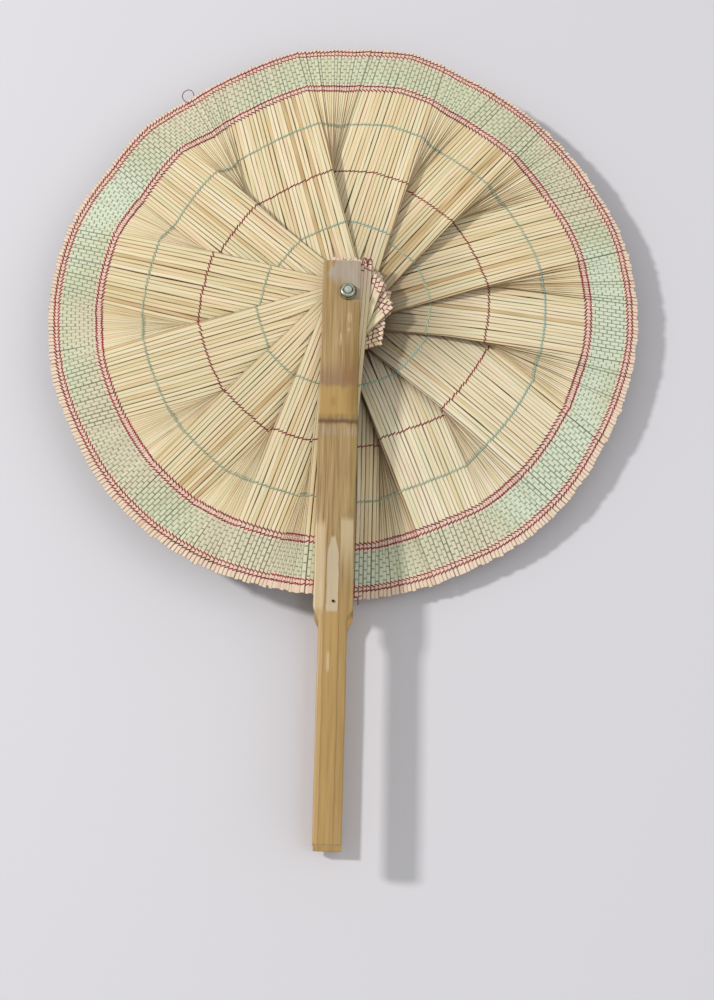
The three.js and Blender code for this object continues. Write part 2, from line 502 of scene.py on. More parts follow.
@dataclass(frozen=True)
class SteelFinish:
    """Plated or dull steel with fine turning marks and a few darker spots."""

    name: str
    bright: Colour
    dark: Colour
    roughness: float
    metallic: float = 1.0
    spot_grain: Grain = Grain((700.0, 700.0, 700.0), 5.0)
    turning_grain: Grain = Grain((9000.0, 9000.0, 9000.0), 3.0)
    dark_place: float = 0.35
    bright_place: float = 0.6
    roughness_reach: float = 0.3
    relief: float = 0.02
    relief_strength: float = 0.35

    def material(self) -> bpy.types.Material:
        """Builds the material.

        Returns:
            The finished material.
        """
        graph = NodeGraph(self.name)
        place = graph.coordinates("Object")
        spots = graph.noise(place, self.spot_grain)
        x, y, z = graph.axes(place)
        from_axis = graph.math("SQRT", graph.plus(graph.times(x, x), graph.times(y, y)))
        turning_marks = graph.noise(graph.joined(from_axis, 0.0, z), self.turning_grain)
        graph.colour = graph.ramp(spots, ((self.dark_place, self.dark), (self.bright_place, self.bright)))
        graph.set("Metallic", self.metallic)
        graph.bump(turning_marks, self.relief, self.relief_strength)
        return graph.finished(graph.plus(graph.swing(spots, self.roughness_reach), self.roughness))


@dataclass(frozen=True)
class SlatPlace:
    """A place on a slat's skin, as sockets: across it, along it, its wander and its fibres."""

    across: Socket
    along: Socket
    wander: Socket
    fibres: Socket


@dataclass(frozen=True)
class Patch:
    """A patch of another colour on a slat, with borders along and across it and on the fibres' noise.

    The borders wander, but for the straight ones, and the patch may be stronger on light fibres.
    """

    colour: Colour
    strength: float
    along: tuple[Border, ...]
    across: tuple[Border, ...] = ()
    fibres: tuple[Border, ...] = ()
    straight: tuple[Border, ...] = ()
    wander_along: float = 0.0
    wander_across: float = 0.0
    least: float = 1.0
    by_fibres: float = 0.0

    def lay(self, graph: NodeGraph, place: SlatPlace) -> None:
        """Lays the patch over the colour so far.

        Args:
            graph: The material's graph.
            place: The place on the skin.
        """
        along = graph.plus(place.along, graph.times(place.wander, self.wander_along))
        across = graph.plus(place.across, graph.times(place.wander, self.wander_across))
        where = graph.times(graph.inside(along, self.along), graph.inside(across, self.across))
        where = graph.times(where, graph.inside(place.fibres, self.fibres))
        where = graph.times(where, graph.inside(place.along, self.straight))
        where = graph.times(where, graph.plus(graph.times(place.fibres, self.by_fibres), self.least))
        graph.lay(self.colour, where, self.strength)


@dataclass(frozen=True)
class HandleFinish:
    """The waxy skin of a bamboo slat, with its node line, stains, a grey worn top and scraped facets.

    Places are in millimetres from the pivot axis, and distances across are from the slat's centre line.
    """

    name: str = "bamboo_slat"
    centre: float = -3.0
    skin_tones: tuple[tuple[float, Colour], ...] = (
        (0.38, srgb(130, 100, 56)),
        (0.56, srgb(172, 140, 92)),
        (0.8, srgb(203, 175, 126)),
    )
    fibre_grain: Grain = Grain((5.0, 0.05, 1.0), 4.0)
    broad_grain: Grain = Grain((0.7, 0.022, 0.0), 2.0, 3.0)
    wander_grain: Grain = Grain((0.25, 0.08, 0.0), 3.0)
    fibre_share: float = 0.6
    broad_share: float = 0.55
    roughness: float = 0.3
    fibre_roughness: float = 0.22
    gloss: float = 0.45
    relief: float = 0.09
    relief_strength: float = 0.55

    golden: Colour = srgb(190, 152, 86)
    olive: Colour = srgb(150, 128, 66)
    olive_dark: Colour = srgb(126, 92, 36)
    grey: Colour = srgb(186, 176, 166)
    scraped: Colour = srgb(208, 184, 142)
    scraped_grey: Colour = srgb(208, 190, 160)
    groove: Colour = srgb(120, 84, 44)
    stain: Colour = srgb(136, 104, 82)
    rust: Colour = srgb(158, 100, 40)
    node_line: Colour = srgb(84, 50, 42)
    scuff: Colour = srgb(226, 208, 170)

    # The golden grip and the golden stretch above the node, the olive right edge, and painted olive shade
    # below the pivot
    ground: tuple[Patch, ...] = (
        Patch(golden, 0.6, ((-128.0, -152.0),), wander_along=10.0),
        Patch(golden, 0.7, ((-62.5, -60.0), (-43.0, -49.0)), wander_along=10.0),
        Patch(olive, 0.55, between(-110.0, -8.0, 10.0), ((5.0, 8.0),), wander_along=10.0),
        # Painted shade: a darker olive patch right of centre below the pivot
        Patch(olive_dark, 0.5, between(-60.0, -26.0, 9.0), ((1.5, 6.5),), wander_along=10.0),
    )
    # The side facets above the grip, and the grooves beside the middle facet and down the grip
    facets: tuple[Patch, ...] = (
        Patch(
            scraped,
            1.0,
            (*between(-149.0, -108.3, 1.6), (-136.0, -114.0)),
            between(2.5, 8.0, 0.25),
            wander_across=1.2,
        ),
        Patch(scraped, 0.7, between(-149.0, -110.5, 2.5), ((-3.9, -4.4),), wander_across=1.2),
        Patch(groove, 0.5, between(-150.0, -114.0, 4.0), between(-3.6, -3.15, 0.2), wander_across=1.2),
        Patch(groove, 0.5, between(-150.0, -114.0, 4.0), between(1.95, 2.4, 0.2), wander_across=1.2),
        Patch(groove, 0.45, ((-150.0, -156.0),), between(-3.9, -3.6, 0.25), wander_across=1.2),
        Patch(groove, 0.45, ((-150.0, -156.0),), between(2.5, 2.9, 0.3), wander_across=1.2),
    )
    # The brown stain above the node, rust on the right and a blotch on the left, and then the node line
    # with dark fibres above it and grey ones below
    marks: tuple[Patch, ...] = (
        Patch(
            stain,
            0.6,
            ((-47.5, -44.5),),
            straight=((-32.0, -43.0),),
            wander_along=5.0,
            least=0.45,
            by_fibres=0.8,
        ),
        Patch(rust, 0.6, between(-45.0, -38.0, 2.5), ((0.0, 4.0),), ((0.4, 0.62),), wander_along=5.0),
        Patch(rust, 0.4, between(-55.5, -51.5, 1.5), between(-3.4, -1.4, 0.9)),
        Patch(node_line, 0.75, between(-63.9, -62.1, 1.1), wander_along=2.0),
        Patch(node_line, 0.45, between(-62.0, -59.6, 1.1), fibres=((0.4, 0.62),), wander_along=2.0),
        Patch(grey, 0.6, between(-69.5, -65.2, 1.4), fibres=((0.5, 0.6),), wander_along=2.0),
    )

    grey_slope: float = 0.9
    grey_wander: float = 9.0
    grey_border: Border = (0.0, 8.0)
    corner_across: float = 8.0
    corner_slope: float = 0.5
    corner_wander: float = 5.0
    corner_border: Border = (-4.0, -1.5)
    grey_strength: float = 0.62

    middle_facet: float = -0.55
    middle_half: float = 2.45
    middle_soft: float = 0.25
    middle_along: tuple[Border, Border] = between(-150.0, -116.5, 0.9)
    middle_point: Border = (-126.0, -115.0)
    middle_narrowing: float = 1.5
    middle_strength: float = 0.55
    middle_fibres: float = 0.5
    facet_wander: float = 1.2

    # Scuffs: the distance across, the place along, and half the width and length
    scuffs: tuple[tuple[float, float, float, float], ...] = (
        (0.2, -23.5, 0.7, 3.4),
        (3.9, -18.6, 0.6, 1.2),
        (4.2, -12.6, 1.0, 2.8),
        (-1.6, -172.0, 0.9, 4.6),
    )
    scuff_border: Border = (1.6, 0.3)
    scuff_fibres: Border = (0.4, 0.6)
    scuff_strength: float = 0.7

    def material(self) -> bpy.types.Material:
        """Builds the material.

        Returns:
            The finished material.
        """
        graph = NodeGraph(self.name)
        x, y, z = [graph.times(axis, 1 / MM) for axis in graph.axes(graph.coordinates("Object"))]
        across = graph.minus(x, self.centre)
        skin_place = graph.joined(across, y, z)
        fibres = graph.noise(skin_place, self.fibre_grain)
        broad = graph.noise(skin_place, self.broad_grain)
        place = SlatPlace(across, y, graph.swing(graph.noise(skin_place, self.wander_grain), 1.0), fibres)
        shade = graph.plus(graph.times(fibres, self.fibre_share), graph.times(broad, self.broad_share))
        graph.colour = graph.ramp(shade, self.skin_tones)
        for patch in self.ground:
            patch.lay(graph, place)
        self._lay_grey_top(graph, place)
        self._lay_middle_facet(graph, place)
        for patch in (*self.facets, *self.marks):
            patch.lay(graph, place)
        self._lay_scuffs(graph, place)
        graph.bump(fibres, self.relief, self.relief_strength)
        roughness = graph.plus(graph.times(fibres, self.fibre_roughness), self.roughness)
        return graph.finished(roughness, self.gloss)

    def _lay_grey_top(self, graph: NodeGraph, place: SlatPlace) -> None:
        """Greys the worn top right of the slat.

        Args:
            graph: The material's graph.
            place: The place on the skin.
        """
        slope = graph.times(place.across, self.grey_slope)
        height = graph.plus(place.along, graph.plus(slope, graph.times(place.wander, self.grey_wander)))
        corner = graph.plus(place.across, self.corner_across)
        corner = graph.minus(corner, graph.times(place.along, self.corner_slope))
        corner = graph.plus(corner, graph.times(place.wander, self.corner_wander))
        where = graph.times(graph.rise(height, *self.grey_border), graph.rise(corner, *self.corner_border))
        graph.lay(self.grey, graph.times(where, graph.plus(place.wander, self.grey_strength)))

    def _lay_middle_facet(self, graph: NodeGraph, place: SlatPlace) -> None:
        """Pales the pointed facet that was scraped in the middle above the grip.

        Args:
            graph: The material's graph.
            place: The place on the skin.
        """
        line = graph.plus(place.across, graph.times(place.wander, self.facet_wander))
        aside = graph.math("ABSOLUTE", graph.minus(line, self.middle_facet))
        narrowing = graph.times(graph.rise(place.along, *self.middle_point), self.middle_narrowing)
        border = (self.middle_half + self.middle_soft, self.middle_half - self.middle_soft)
        pointed = graph.rise(graph.plus(aside, narrowing), *border)
        where = graph.times(pointed, graph.inside(place.along, self.middle_along))
        worn = graph.plus(graph.times(place.fibres, self.middle_fibres), self.middle_strength)
        graph.lay(self.scraped_grey, graph.times(where, worn))

    def _lay_scuffs(self, graph: NodeGraph, place: SlatPlace) -> None:
        """Adds the small pale scuffs.

        Args:
            graph: The material's graph.
            place: The place on the skin.
        """
        streaky = graph.rise(place.fibres, *self.scuff_fibres)
        for across, along, half_width, half_length in self.scuffs:
            beside = graph.math("DIVIDE", graph.minus(place.across, across), half_width)
            ahead = graph.math("DIVIDE", graph.minus(place.along, along), half_length)
            square = graph.plus(graph.times(beside, beside), graph.times(ahead, ahead))
            where = graph.times(graph.rise(square, *self.scuff_border), streaky)
            graph.lay(self.scuff, where, self.scuff_strength)


class Finish(Enum):
    """The finishes of the fan's pieces."""

    STICKS = StickFinish()
    CRIMSON = ThreadFinish("crimson_thread", srgb(188, 56, 80), srgb(98, 22, 36))
    TEAL = ThreadFinish("teal_thread", srgb(186, 196, 166), srgb(134, 148, 118))
    PALE_TEAL = ThreadFinish(
        "pale_teal_thread", srgb(202, 202, 164), srgb(156, 164, 134), fresh=srgb(156, 196, 182)
    )
    MAROON = ThreadFinish("maroon_thread", srgb(168, 62, 66), srgb(110, 32, 38))
    SLAT = HandleFinish()
    BRIGHT_STEEL = SteelFinish("zinc_plated_bolt", srgb(220, 230, 220), srgb(176, 184, 172), 0.3, 0.5)
    PLATED_STEEL = SteelFinish("zinc_plated_nut", srgb(206, 208, 186), srgb(140, 142, 120), 0.34, 0.85)
    DULL_STEEL = SteelFinish("dull_washer_steel", srgb(150, 142, 118), srgb(96, 90, 72), 0.5)
    RUSTY_STEEL = SteelFinish("rusty_nail_steel", srgb(80, 68, 52), srgb(40, 32, 24), 0.75)

    def made(self) -> bpy.types.Material:
        """Gives this finish's material, and builds it the first time."""
        known = bpy.data.materials.get(self.value.name)
        return known or self.value.material()


# Shapes that are modelled once and copied


def climb(values: np.ndarray, begins: float, full: float) -> np.ndarray:
    """Climbs evenly from 0 to 1 across a border, which may be full above or below where it begins."""
    return np.clip((values - begins) / (full - begins), 0, 1)


def put_in_scene(name: str, data: bpy.types.ID) -> bpy.types.Object:
    """Puts a new object with a mesh, a curve, a light or a camera in the scene.

    Args:
        name: The object's name.
        data: What it shows.

    Returns:
        The object, at the origin.
    """
    item = bpy.data.objects.new(name, data)
    bpy.context.scene.collection.objects.link(item)
    return item


def deselect_all() -> None:
    """Deselects every object, so that an operator acts only on the new one."""
    for item in bpy.context.view_layer.objects:
        item.select_set(False)


def select_only(item: bpy.types.Object) -> None:
    """Selects one object alone and makes it the active one.

    Args:
        item: The object.
    """
    deselect_all()
    item.select_set(True)
    bpy.context.view_layer.objects.active = item


def edit_mode(selected: str = "SELECT") -> None:
    """Starts to edit the active object's mesh, with all or, by "DESELECT", none of it selected."""
    bpy.ops.object.mode_set(mode="EDIT")
    bpy.ops.mesh.select_all(action=selected)


def object_mode() -> None:
    """Ends the editing of a mesh."""
    bpy.ops.object.mode_set(mode="OBJECT")


def cut_across(axis: Vector, places: tuple[float, ...]) -> None:
    """Cuts the mesh that is being edited across an axis.

    Args:
        axis: The axis's direction.
        places: Where the cuts lie on it.
    """
    for place in places:
        bpy.ops.mesh.select_all(action="SELECT")
        bpy.ops.mesh.bisect(plane_co=axis * place, plane_no=axis)


@dataclass(frozen=True)
class Blank:
    """A small closed or open shape that is modelled once: its corners and its faces."""

    corners: np.ndarray
    faces: list[tuple[int, ...]]


def take_blank(item: bpy.types.Object) -> Blank:
    """Keeps a modelled shape as numbers and removes its object.

    The faces are turned over, because a stick's own directions are left-handed: along it, clockwise, up.

    Args:
        item: The object.

    Returns:
        Its corners and faces.
    """
    corners = np.array([vertex.co for vertex in item.data.vertices], float)
    faces = [tuple(reversed(polygon.vertices)) for polygon in item.data.polygons]
    bpy.data.objects.remove(item)
    return Blank(corners, faces)


@dataclass(frozen=True)
class StickBlank:
    """One straight stick along X from 0 to 1, one unit wide and high, with two eased upper edges."""

    ease_across: float = 0.17
    ease_down: float = 0.4
    cuts: tuple[float, ...] = (0.06, 0.13, 0.22, 0.32, 0.43, 0.54, 0.65, 0.75, 0.84, 0.93)

    @property
    def stations(self) -> np.ndarray:
        """The places along the stick where it has corners."""
        return np.array((0.0, *self.cuts, 1.0))

    def made(self) -> Blank:
        """Models the stick.

        Returns:
            The stick's blank.
        """
        half = 0.5
        deselect_all()
        bpy.ops.mesh.primitive_cube_add(size=1, location=(half, 0, half))
        stick = bpy.context.active_object
        bpy.ops.object.transform_apply(location=True)
        edit_mode("DESELECT")
        bpy.ops.mesh.select_mode(type="EDGE")
        object_mode()
        corners = stick.data.vertices
        for edge in stick.data.edges:
            start, end = [corners[index].co for index in edge.vertices]
            edge.select = min(start.z, end.z) > half and abs(end.x - start.x) > half
        bpy.ops.object.mode_set(mode="EDIT")
        bpy.ops.mesh.bevel(offset=self.ease_across, segments=1)
        cut_across(Vector((1, 0, 0)), self.cuts)
        object_mode()
        blank = take_blank(stick)
        height = blank.corners[:, 2]
        eased = (height > half) & (height < 1 - self.ease_across / 2)
        blank.corners[eased, 2] = 1 - self.ease_down
        return blank


@dataclass(frozen=True)
class WrapBlank:
    """One stretch of thread along Y from -0.5 to 0.5, of unit radius, open at its ends."""

    sides: int = 4
    cuts: tuple[float, ...] = (-0.3, 0.0, 0.3)

    def made(self) -> Blank:
        """Models the stretch.

        Returns:
            The stretch's blank.
        """
        deselect_all()
        bpy.ops.mesh.primitive_cylinder_add(
            vertices=self.sides, radius=1, depth=1, end_fill_type="NOTHING", rotation=(math.pi / 2, 0, 0)
        )
        wrap = bpy.context.active_object
        bpy.ops.object.transform_apply(rotation=True)
        edit_mode()
        cut_across(Vector((0, 1, 0)), self.cuts)
        object_mode()
        return take_blank(wrap)


class MeshGatherer:
    """Gathers many small shapes into one piece, with a finish, marks and fibre coordinates for each.

    The marks are each corner's tone, how dark its seam is, partly as painted shade, and how much painted
    shade it has near the pivot, from 0 to 1.
    """

    def __init__(self) -> None:
        """Starts with nothing gathered."""
        self.corners: list[np.ndarray] = []
        self.faces: list[tuple[int, ...]] = []
        self.finishes: list[Finish] = []
        self.face_finish: list[int] = []
        self.marks: dict[str, list[np.ndarray]] = {"tone": [], "edge": [], "soiled": []}
        self.fibres: list[np.ndarray] = []
        self.count = 0

    def add(
        self, blank: Blank, corners: np.ndarray, finish: Finish, marks: Marks, fibres: np.ndarray
    ) -> None:
        """Adds copies of one shape.

        Args:
            blank: The shape.
            corners: Places in millimetres, for each copy, each corner and each axis.
            finish: The copies' finish.
            marks: The marks by name, for each copy and each corner. One that is left out is 0.
            fibres: The two fibre coordinates of each copy's corners.
        """
        copies, size, _ = corners.shape
        if finish not in self.finishes:
            self.finishes.append(finish)
        slot = self.finishes.index(finish)
        for copy in range(copies):
            start = self.count + copy * size
            self.faces.extend(tuple(start + index for index in face) for face in blank.faces)
        self.face_finish.extend([slot] * (copies * len(blank.faces)))
        self.corners.append(corners.reshape(-1, 3))
        for label, gathered in self.marks.items():
            gathered.append(np.broadcast_to(marks.get(label, 0.0), (copies, size)).ravel())
        self.fibres.append(fibres.reshape(-1, 2))
        self.count += copies * size

    def finished(self, name: str) -> bpy.types.Object:
        """Makes the piece.

        Args:
            name: The piece's name.

        Returns:
            The piece, at the origin.
        """
        mesh = bpy.data.meshes.new(name)
        places = np.concatenate(self.corners) * MM
        mesh.from_pydata(places.tolist(), [], self.faces)
        for finish in self.finishes:
            mesh.materials.append(finish.made())
        mesh.polygons.foreach_set("material_index", self.face_finish)
        smooth = [self.finishes[slot] is not Finish.STICKS for slot in self.face_finish]
        mesh.polygons.foreach_set("use_smooth", smooth)
        for label, gathered in self.marks.items():
            attribute = mesh.attributes.new(label, "FLOAT", "POINT")
            attribute.data.foreach_set("value", np.concatenate(gathered).astype(np.float32))
        layer = mesh.uv_layers.new(name="fibres")
        corner_of_loop = np.empty(len(mesh.loops), dtype=np.int32)
        mesh.loops.foreach_get("vertex_index", corner_of_loop)
        layer.data.foreach_set("uv", np.concatenate(self.fibres)[corner_of_loop].astype(np.float32).ravel())
        mesh.update()
        return put_in_scene(name, mesh)


# The pleated mat


class Weave(Enum):
    """How a thread row passes the sticks."""

    TWINED = "over and under every stick"
    PLAIN = "over every other stick"


@dataclass(frozen=True)
class ThreadRow:
    """A row of thread across all sticks, at a distance from their outer or inner ends."""

    from_end: float
    finish: Finish
    weave: Weave
    half_width: float
    slant: float
    from_outer: bool = True
    odd: int = 0


@dataclass(frozen=True)
class StickBatch:
    """Sticks that lie side by side in a wall, each value an array with a row for each stick."""

    number: np.ndarray
    angle: np.ndarray
    across: np.ndarray
    height: np.ndarray
    lift: np.ndarray
    tilt: np.ndarray
    outer: np.ndarray
    inner: np.ndarray
    width: np.ndarray
    thickness: np.ndarray
    tone: np.ndarray
    sway: np.ndarray
    rim: np.ndarray
    roll: np.ndarray
    waist: np.ndarray
    seams: np.ndarray
    # How much painted shade the sticks get near the pivot, and how far out it reaches
    soiled: np.ndarray
    soiled_to: np.ndarray

    def part(self, chosen: slice) -> "StickBatch":
        """Gives some of the sticks as a batch of their own."""
        return StickBatch(*[getattr(self, name)[chosen] for name in self.__dataclass_fields__])


@dataclass(frozen=True)
class Spread:
    """How far hand-split sticks differ, in millimetres and radians, and in tones from 0 to 1."""

    brown_share: float = 0.09
    brown_tones: tuple[float, float] = (0.1, 0.3)
    straw_tones: tuple[float, float] = (0.4, 0.76)
    width: float = 0.1
    thickness: tuple[float, float] = (0.88, 1.08)
    angle: float = 0.0004
    across: float = 0.04
    height: float = 0.04
    outer: float = 0.26
    inner: float = 0.5
    roll: float = 0.035
    near_sway: float = 0.13
    far_sway: float = 0.08
    phase: float = 6.3


@dataclass(frozen=True)
class FoldPlan:
    """How the mat is folded and opened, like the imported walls.

    A wall's order is its place in the stack, counted in pleats from the front.
    """

    stick_pitch: float = 1.84
    starter_sticks: int = 10
    starter_lean: float = 3.5
    pleat_sticks: tuple[int, ...] = (12, 15, 19, 20, 18, 23, 20, 16, 21, 16, 22, 18, 14)
    fold_offset: float = 8.8
    inner_tail: float = 18.6
    tail_slope: float = 0.42
    return_shorter: float = 1.2
    rim_turn: float = 12.0
    rim_distances: tuple[float, ...] = (
        *(141.6, 142.2, 143.4, 143.5, 142.5, 140.7, 140.4, 139.1, 138.2, 137.0),
        *(134.5, 135.6, 133.2, 135.0, 138.5, 137.5, 139.8, 135.9, 135.1, 134.6),
        *(134.1, 135.9, 136.0, 136.3, 135.5, 135.3, 137.2, 137.9, 137.3, 138.7, 140.0),
    )
    mat_bottom: float = 6.8
    layer_pitch: float = 0.65
    stick_thickness: float = 0.42
    stick_width: float = 1.79
    fold_stick_extra: float = 0.2
    seam_orders: tuple[float, ...] = (1.5, 4.5)
    palest_seams: tuple[float, ...] = (0.8, 0.42)
    # Painted light: walls of these orders, on the lower right, get a paler tone as if more brightly lit
    pale_orders: tuple[float, ...] = (9.5, 11.0, 12.0, 12.5)
    pale_extras: tuple[float, ...] = (0.0, 0.3, 0.3, 0.0)
    # Painted shade near the pivot: the orders over which it grows, and how far out it reaches on the last
    # walls
    soiled_orders: tuple[float, float] = (6.0, 10.0)
    soil_end_orders: tuple[float, ...] = (12.0, 12.5, 13.0)
    soil_ends: tuple[float, ...] = (60.0, 128.0, 84.0)
    lift_per_pleat: float = 0.45
    lift_across: float = 42.3
    lift_from: float = 9.0
    lift_to: float = 131.0
    lift_power: float = 1.2
    bolt_part: float = 2.3
    most_roll: float = 0.62
    end_short_at_top: float = 2.6
    rim_step_eased: float = 0.22
    spread: Spread = Spread()
    return_spread: Spread = Spread(height=0.12, roll=0.07, near_sway=0.34)
    seed: int = 4107

    @property
    def last(self) -> int:
        """The number of the last panel."""
        return len(self.pleat_sticks)

    @property
    def openings(self) -> list[float]:
        """The opening angle of each panel.

        Returns:
            The angles in degrees.
        """
        total = sum(self.pleat_sticks)
        turns = [360 * sum(self.pleat_sticks[:i]) / total for i in range(1, self.last + 1)]
        return [self.starter_lean] + turns

    def rise(self, along: np.ndarray) -> np.ndarray:
        """Gives the share of its lift, from 0 to 1, that a ridge has at distances from the pivot axis."""
        return np.sin(np.pi * climb(along, self.lift_from, self.lift_to)) ** self.lift_power

    def lift(self, order: float, across: np.ndarray) -> np.ndarray:
        """Gives a wall's rise at mid length: ridges rise and valleys sink, and folded walls still nest."""
        ridge_share = 1 - (self.fold_offset - across) / self.lift_across
        return self.lift_per_pleat * (order - self.last * (1 - ridge_share))

    def rim_at(self, angle: np.ndarray, across: np.ndarray) -> np.ndarray:
        """Gives how far each stick's place on the rim lies from the pivot axis, along the stick.

        Args:
            angle: Opening angles in degrees.
            across: Distances of the sticks from the pivot axis, clockwise.

        Returns:
            The distances.
        """
        middle_rim = sum(self.rim_distances) / len(self.rim_distances)
        end_angle = angle + np.degrees(np.arctan(across / middle_rim))
        turns = self.rim_turn * np.arange(len(self.rim_distances))
        return np.sqrt(np.interp(end_angle, turns, self.rim_distances) ** 2 - across**2)

    def level(self, order: float) -> float:
        """Gives the height of a wall's underside at the pivot, by its order."""
        return self.mat_bottom + 2 * (self.last - order) * self.layer_pitch

    def first_number(self, i: int, is_return: bool) -> int:
        """Counts the sticks that come before a wall along the mat.

        Args:
            i: The panel's number.
            is_return: Whether the wall is the return wall that follows that panel.

        Returns:
            The number of the wall's first stick.
        """
        before = self.starter_sticks + 2 * sum(self.pleat_sticks[:i])
        if is_return:
            return before
        return 0 if i == 0 else before - self.pleat_sticks[i - 1]

    def _batch(
        self, i: int, order: float, angle: np.ndarray, across: np.ndarray, waist: float
    ) -> StickBatch:
        """Gives a wall's sticks their places and their small differences.

        Args:
            i: The panel's number.
            order: The wall's order.
            angle: Opening angles in degrees.
            across: Distances of the centre lines from the pivot axis, clockwise.
            waist: Where the sticks cross, from the pivot axis, or 0 where they are parallel.

        Returns:
            The batch.
        """
        count = len(angle)
        first = self.first_number(i, waist > 0)
        spread = self.return_spread if waist else self.spread
        dice = np.random.default_rng(self.seed + first)
        rim = self.rim_at(angle, across)
        shorter = self.end_short_at_top * (1 - np.cos(np.radians(angle))) / 2
        rim_step = self.rim_step_eased * (0.5 - (np.arange(count) + 0.5) / count)
        sway = [
            dice.normal(0, spread.near_sway, count),
            dice.uniform(0, spread.phase, count),
            dice.normal(0, spread.far_sway, count),
            dice.uniform(0, spread.phase, count),
        ]
        is_brown = dice.random(count) < spread.brown_share
        brown = dice.uniform(*spread.brown_tones, count)
        straw = dice.uniform(*spread.straw_tones, count)
        width = self.stick_width + dice.uniform(-spread.width, spread.width, count)
        width[[0, -1]] += self.fold_stick_extra
        palest = np.interp(order, self.seam_orders, self.palest_seams)
        seam = palest + (1 - palest) * dice.random(count + 1)
        seam[[0, -1]] = 1.0
        seams = np.stack([seam[:-1], seam[1:]], axis=1)
        tail = np.full(count, self.inner_tail)
        if order:
            tail = tail + self.tail_slope * np.minimum(across, 0)
        if waist:
            tail = tail - self.return_shorter
        return StickBatch(
            number=first + np.arange(count),
            angle=np.radians(angle) + dice.normal(0, spread.angle, count),
            across=across + dice.normal(0, spread.across, count),
            height=self.level(order) + rim_step + dice.uniform(-spread.height, spread.height, count),
            lift=self.lift(order, across) - rim_step,
            tilt=np.full(count, 0.0 if waist else self.lift_per_pleat * self.last / self.lift_across),
            outer=rim - shorter + dice.normal(0, spread.outer, count),
            inner=dice.normal(0, spread.inner, count) - tail,
            width=width,
            thickness=self.stick_thickness * dice.uniform(*spread.thickness, count),
            # The tone includes painted light on the lower-right walls
            tone=np.where(is_brown, brown, straw) + np.interp(order, self.pale_orders, self.pale_extras),
            sway=np.stack(sway, axis=1),
            rim=rim,
            roll=dice.normal(0, spread.roll, count),
            waist=np.full(count, waist),
            seams=seams[:, ::-1] if waist else seams,
            # Painted shade near the pivot, stronger on the lower walls
            soiled=np.full(count, np.interp(order, self.soiled_orders, (0.0, 1.0))),
            soiled_to=np.full(count, np.interp(order, self.soil_end_orders, self.soil_ends)),
        )

    def panel(self, i: int) -> StickBatch:
        """Lays out the sticks of a panel, from its valley to its ridge.

        Args:
            i: The panel's number.

        Returns:
            The batch.
        """
        count = self.starter_sticks if i == 0 else self.pleat_sticks[i - 1]
        from_ridge = (count - np.arange(count) - 0.5) * self.stick_pitch
        return self._batch(i, i, np.full(count, self.openings[i]), self.fold_offset - from_ridge, 0.0)

    def return_wall(self, i: int) -> StickBatch:
        """Lays out the sticks of the return wall after a panel, from the ridge to the next valley.

        Args:
            i: The panel's number.

        Returns:
            The batch.
        """
        count = self.pleat_sticks[i]
        number = np.arange(count) + 0.5
        step = self.openings[i + 1] - self.openings[i]
        angle = self.openings[i] + number / count * step
        waist = count * self.stick_pitch / math.radians(step)
        return self._batch(i, i + 0.5, angle, self.fold_offset - number * self.stick_pitch, waist)


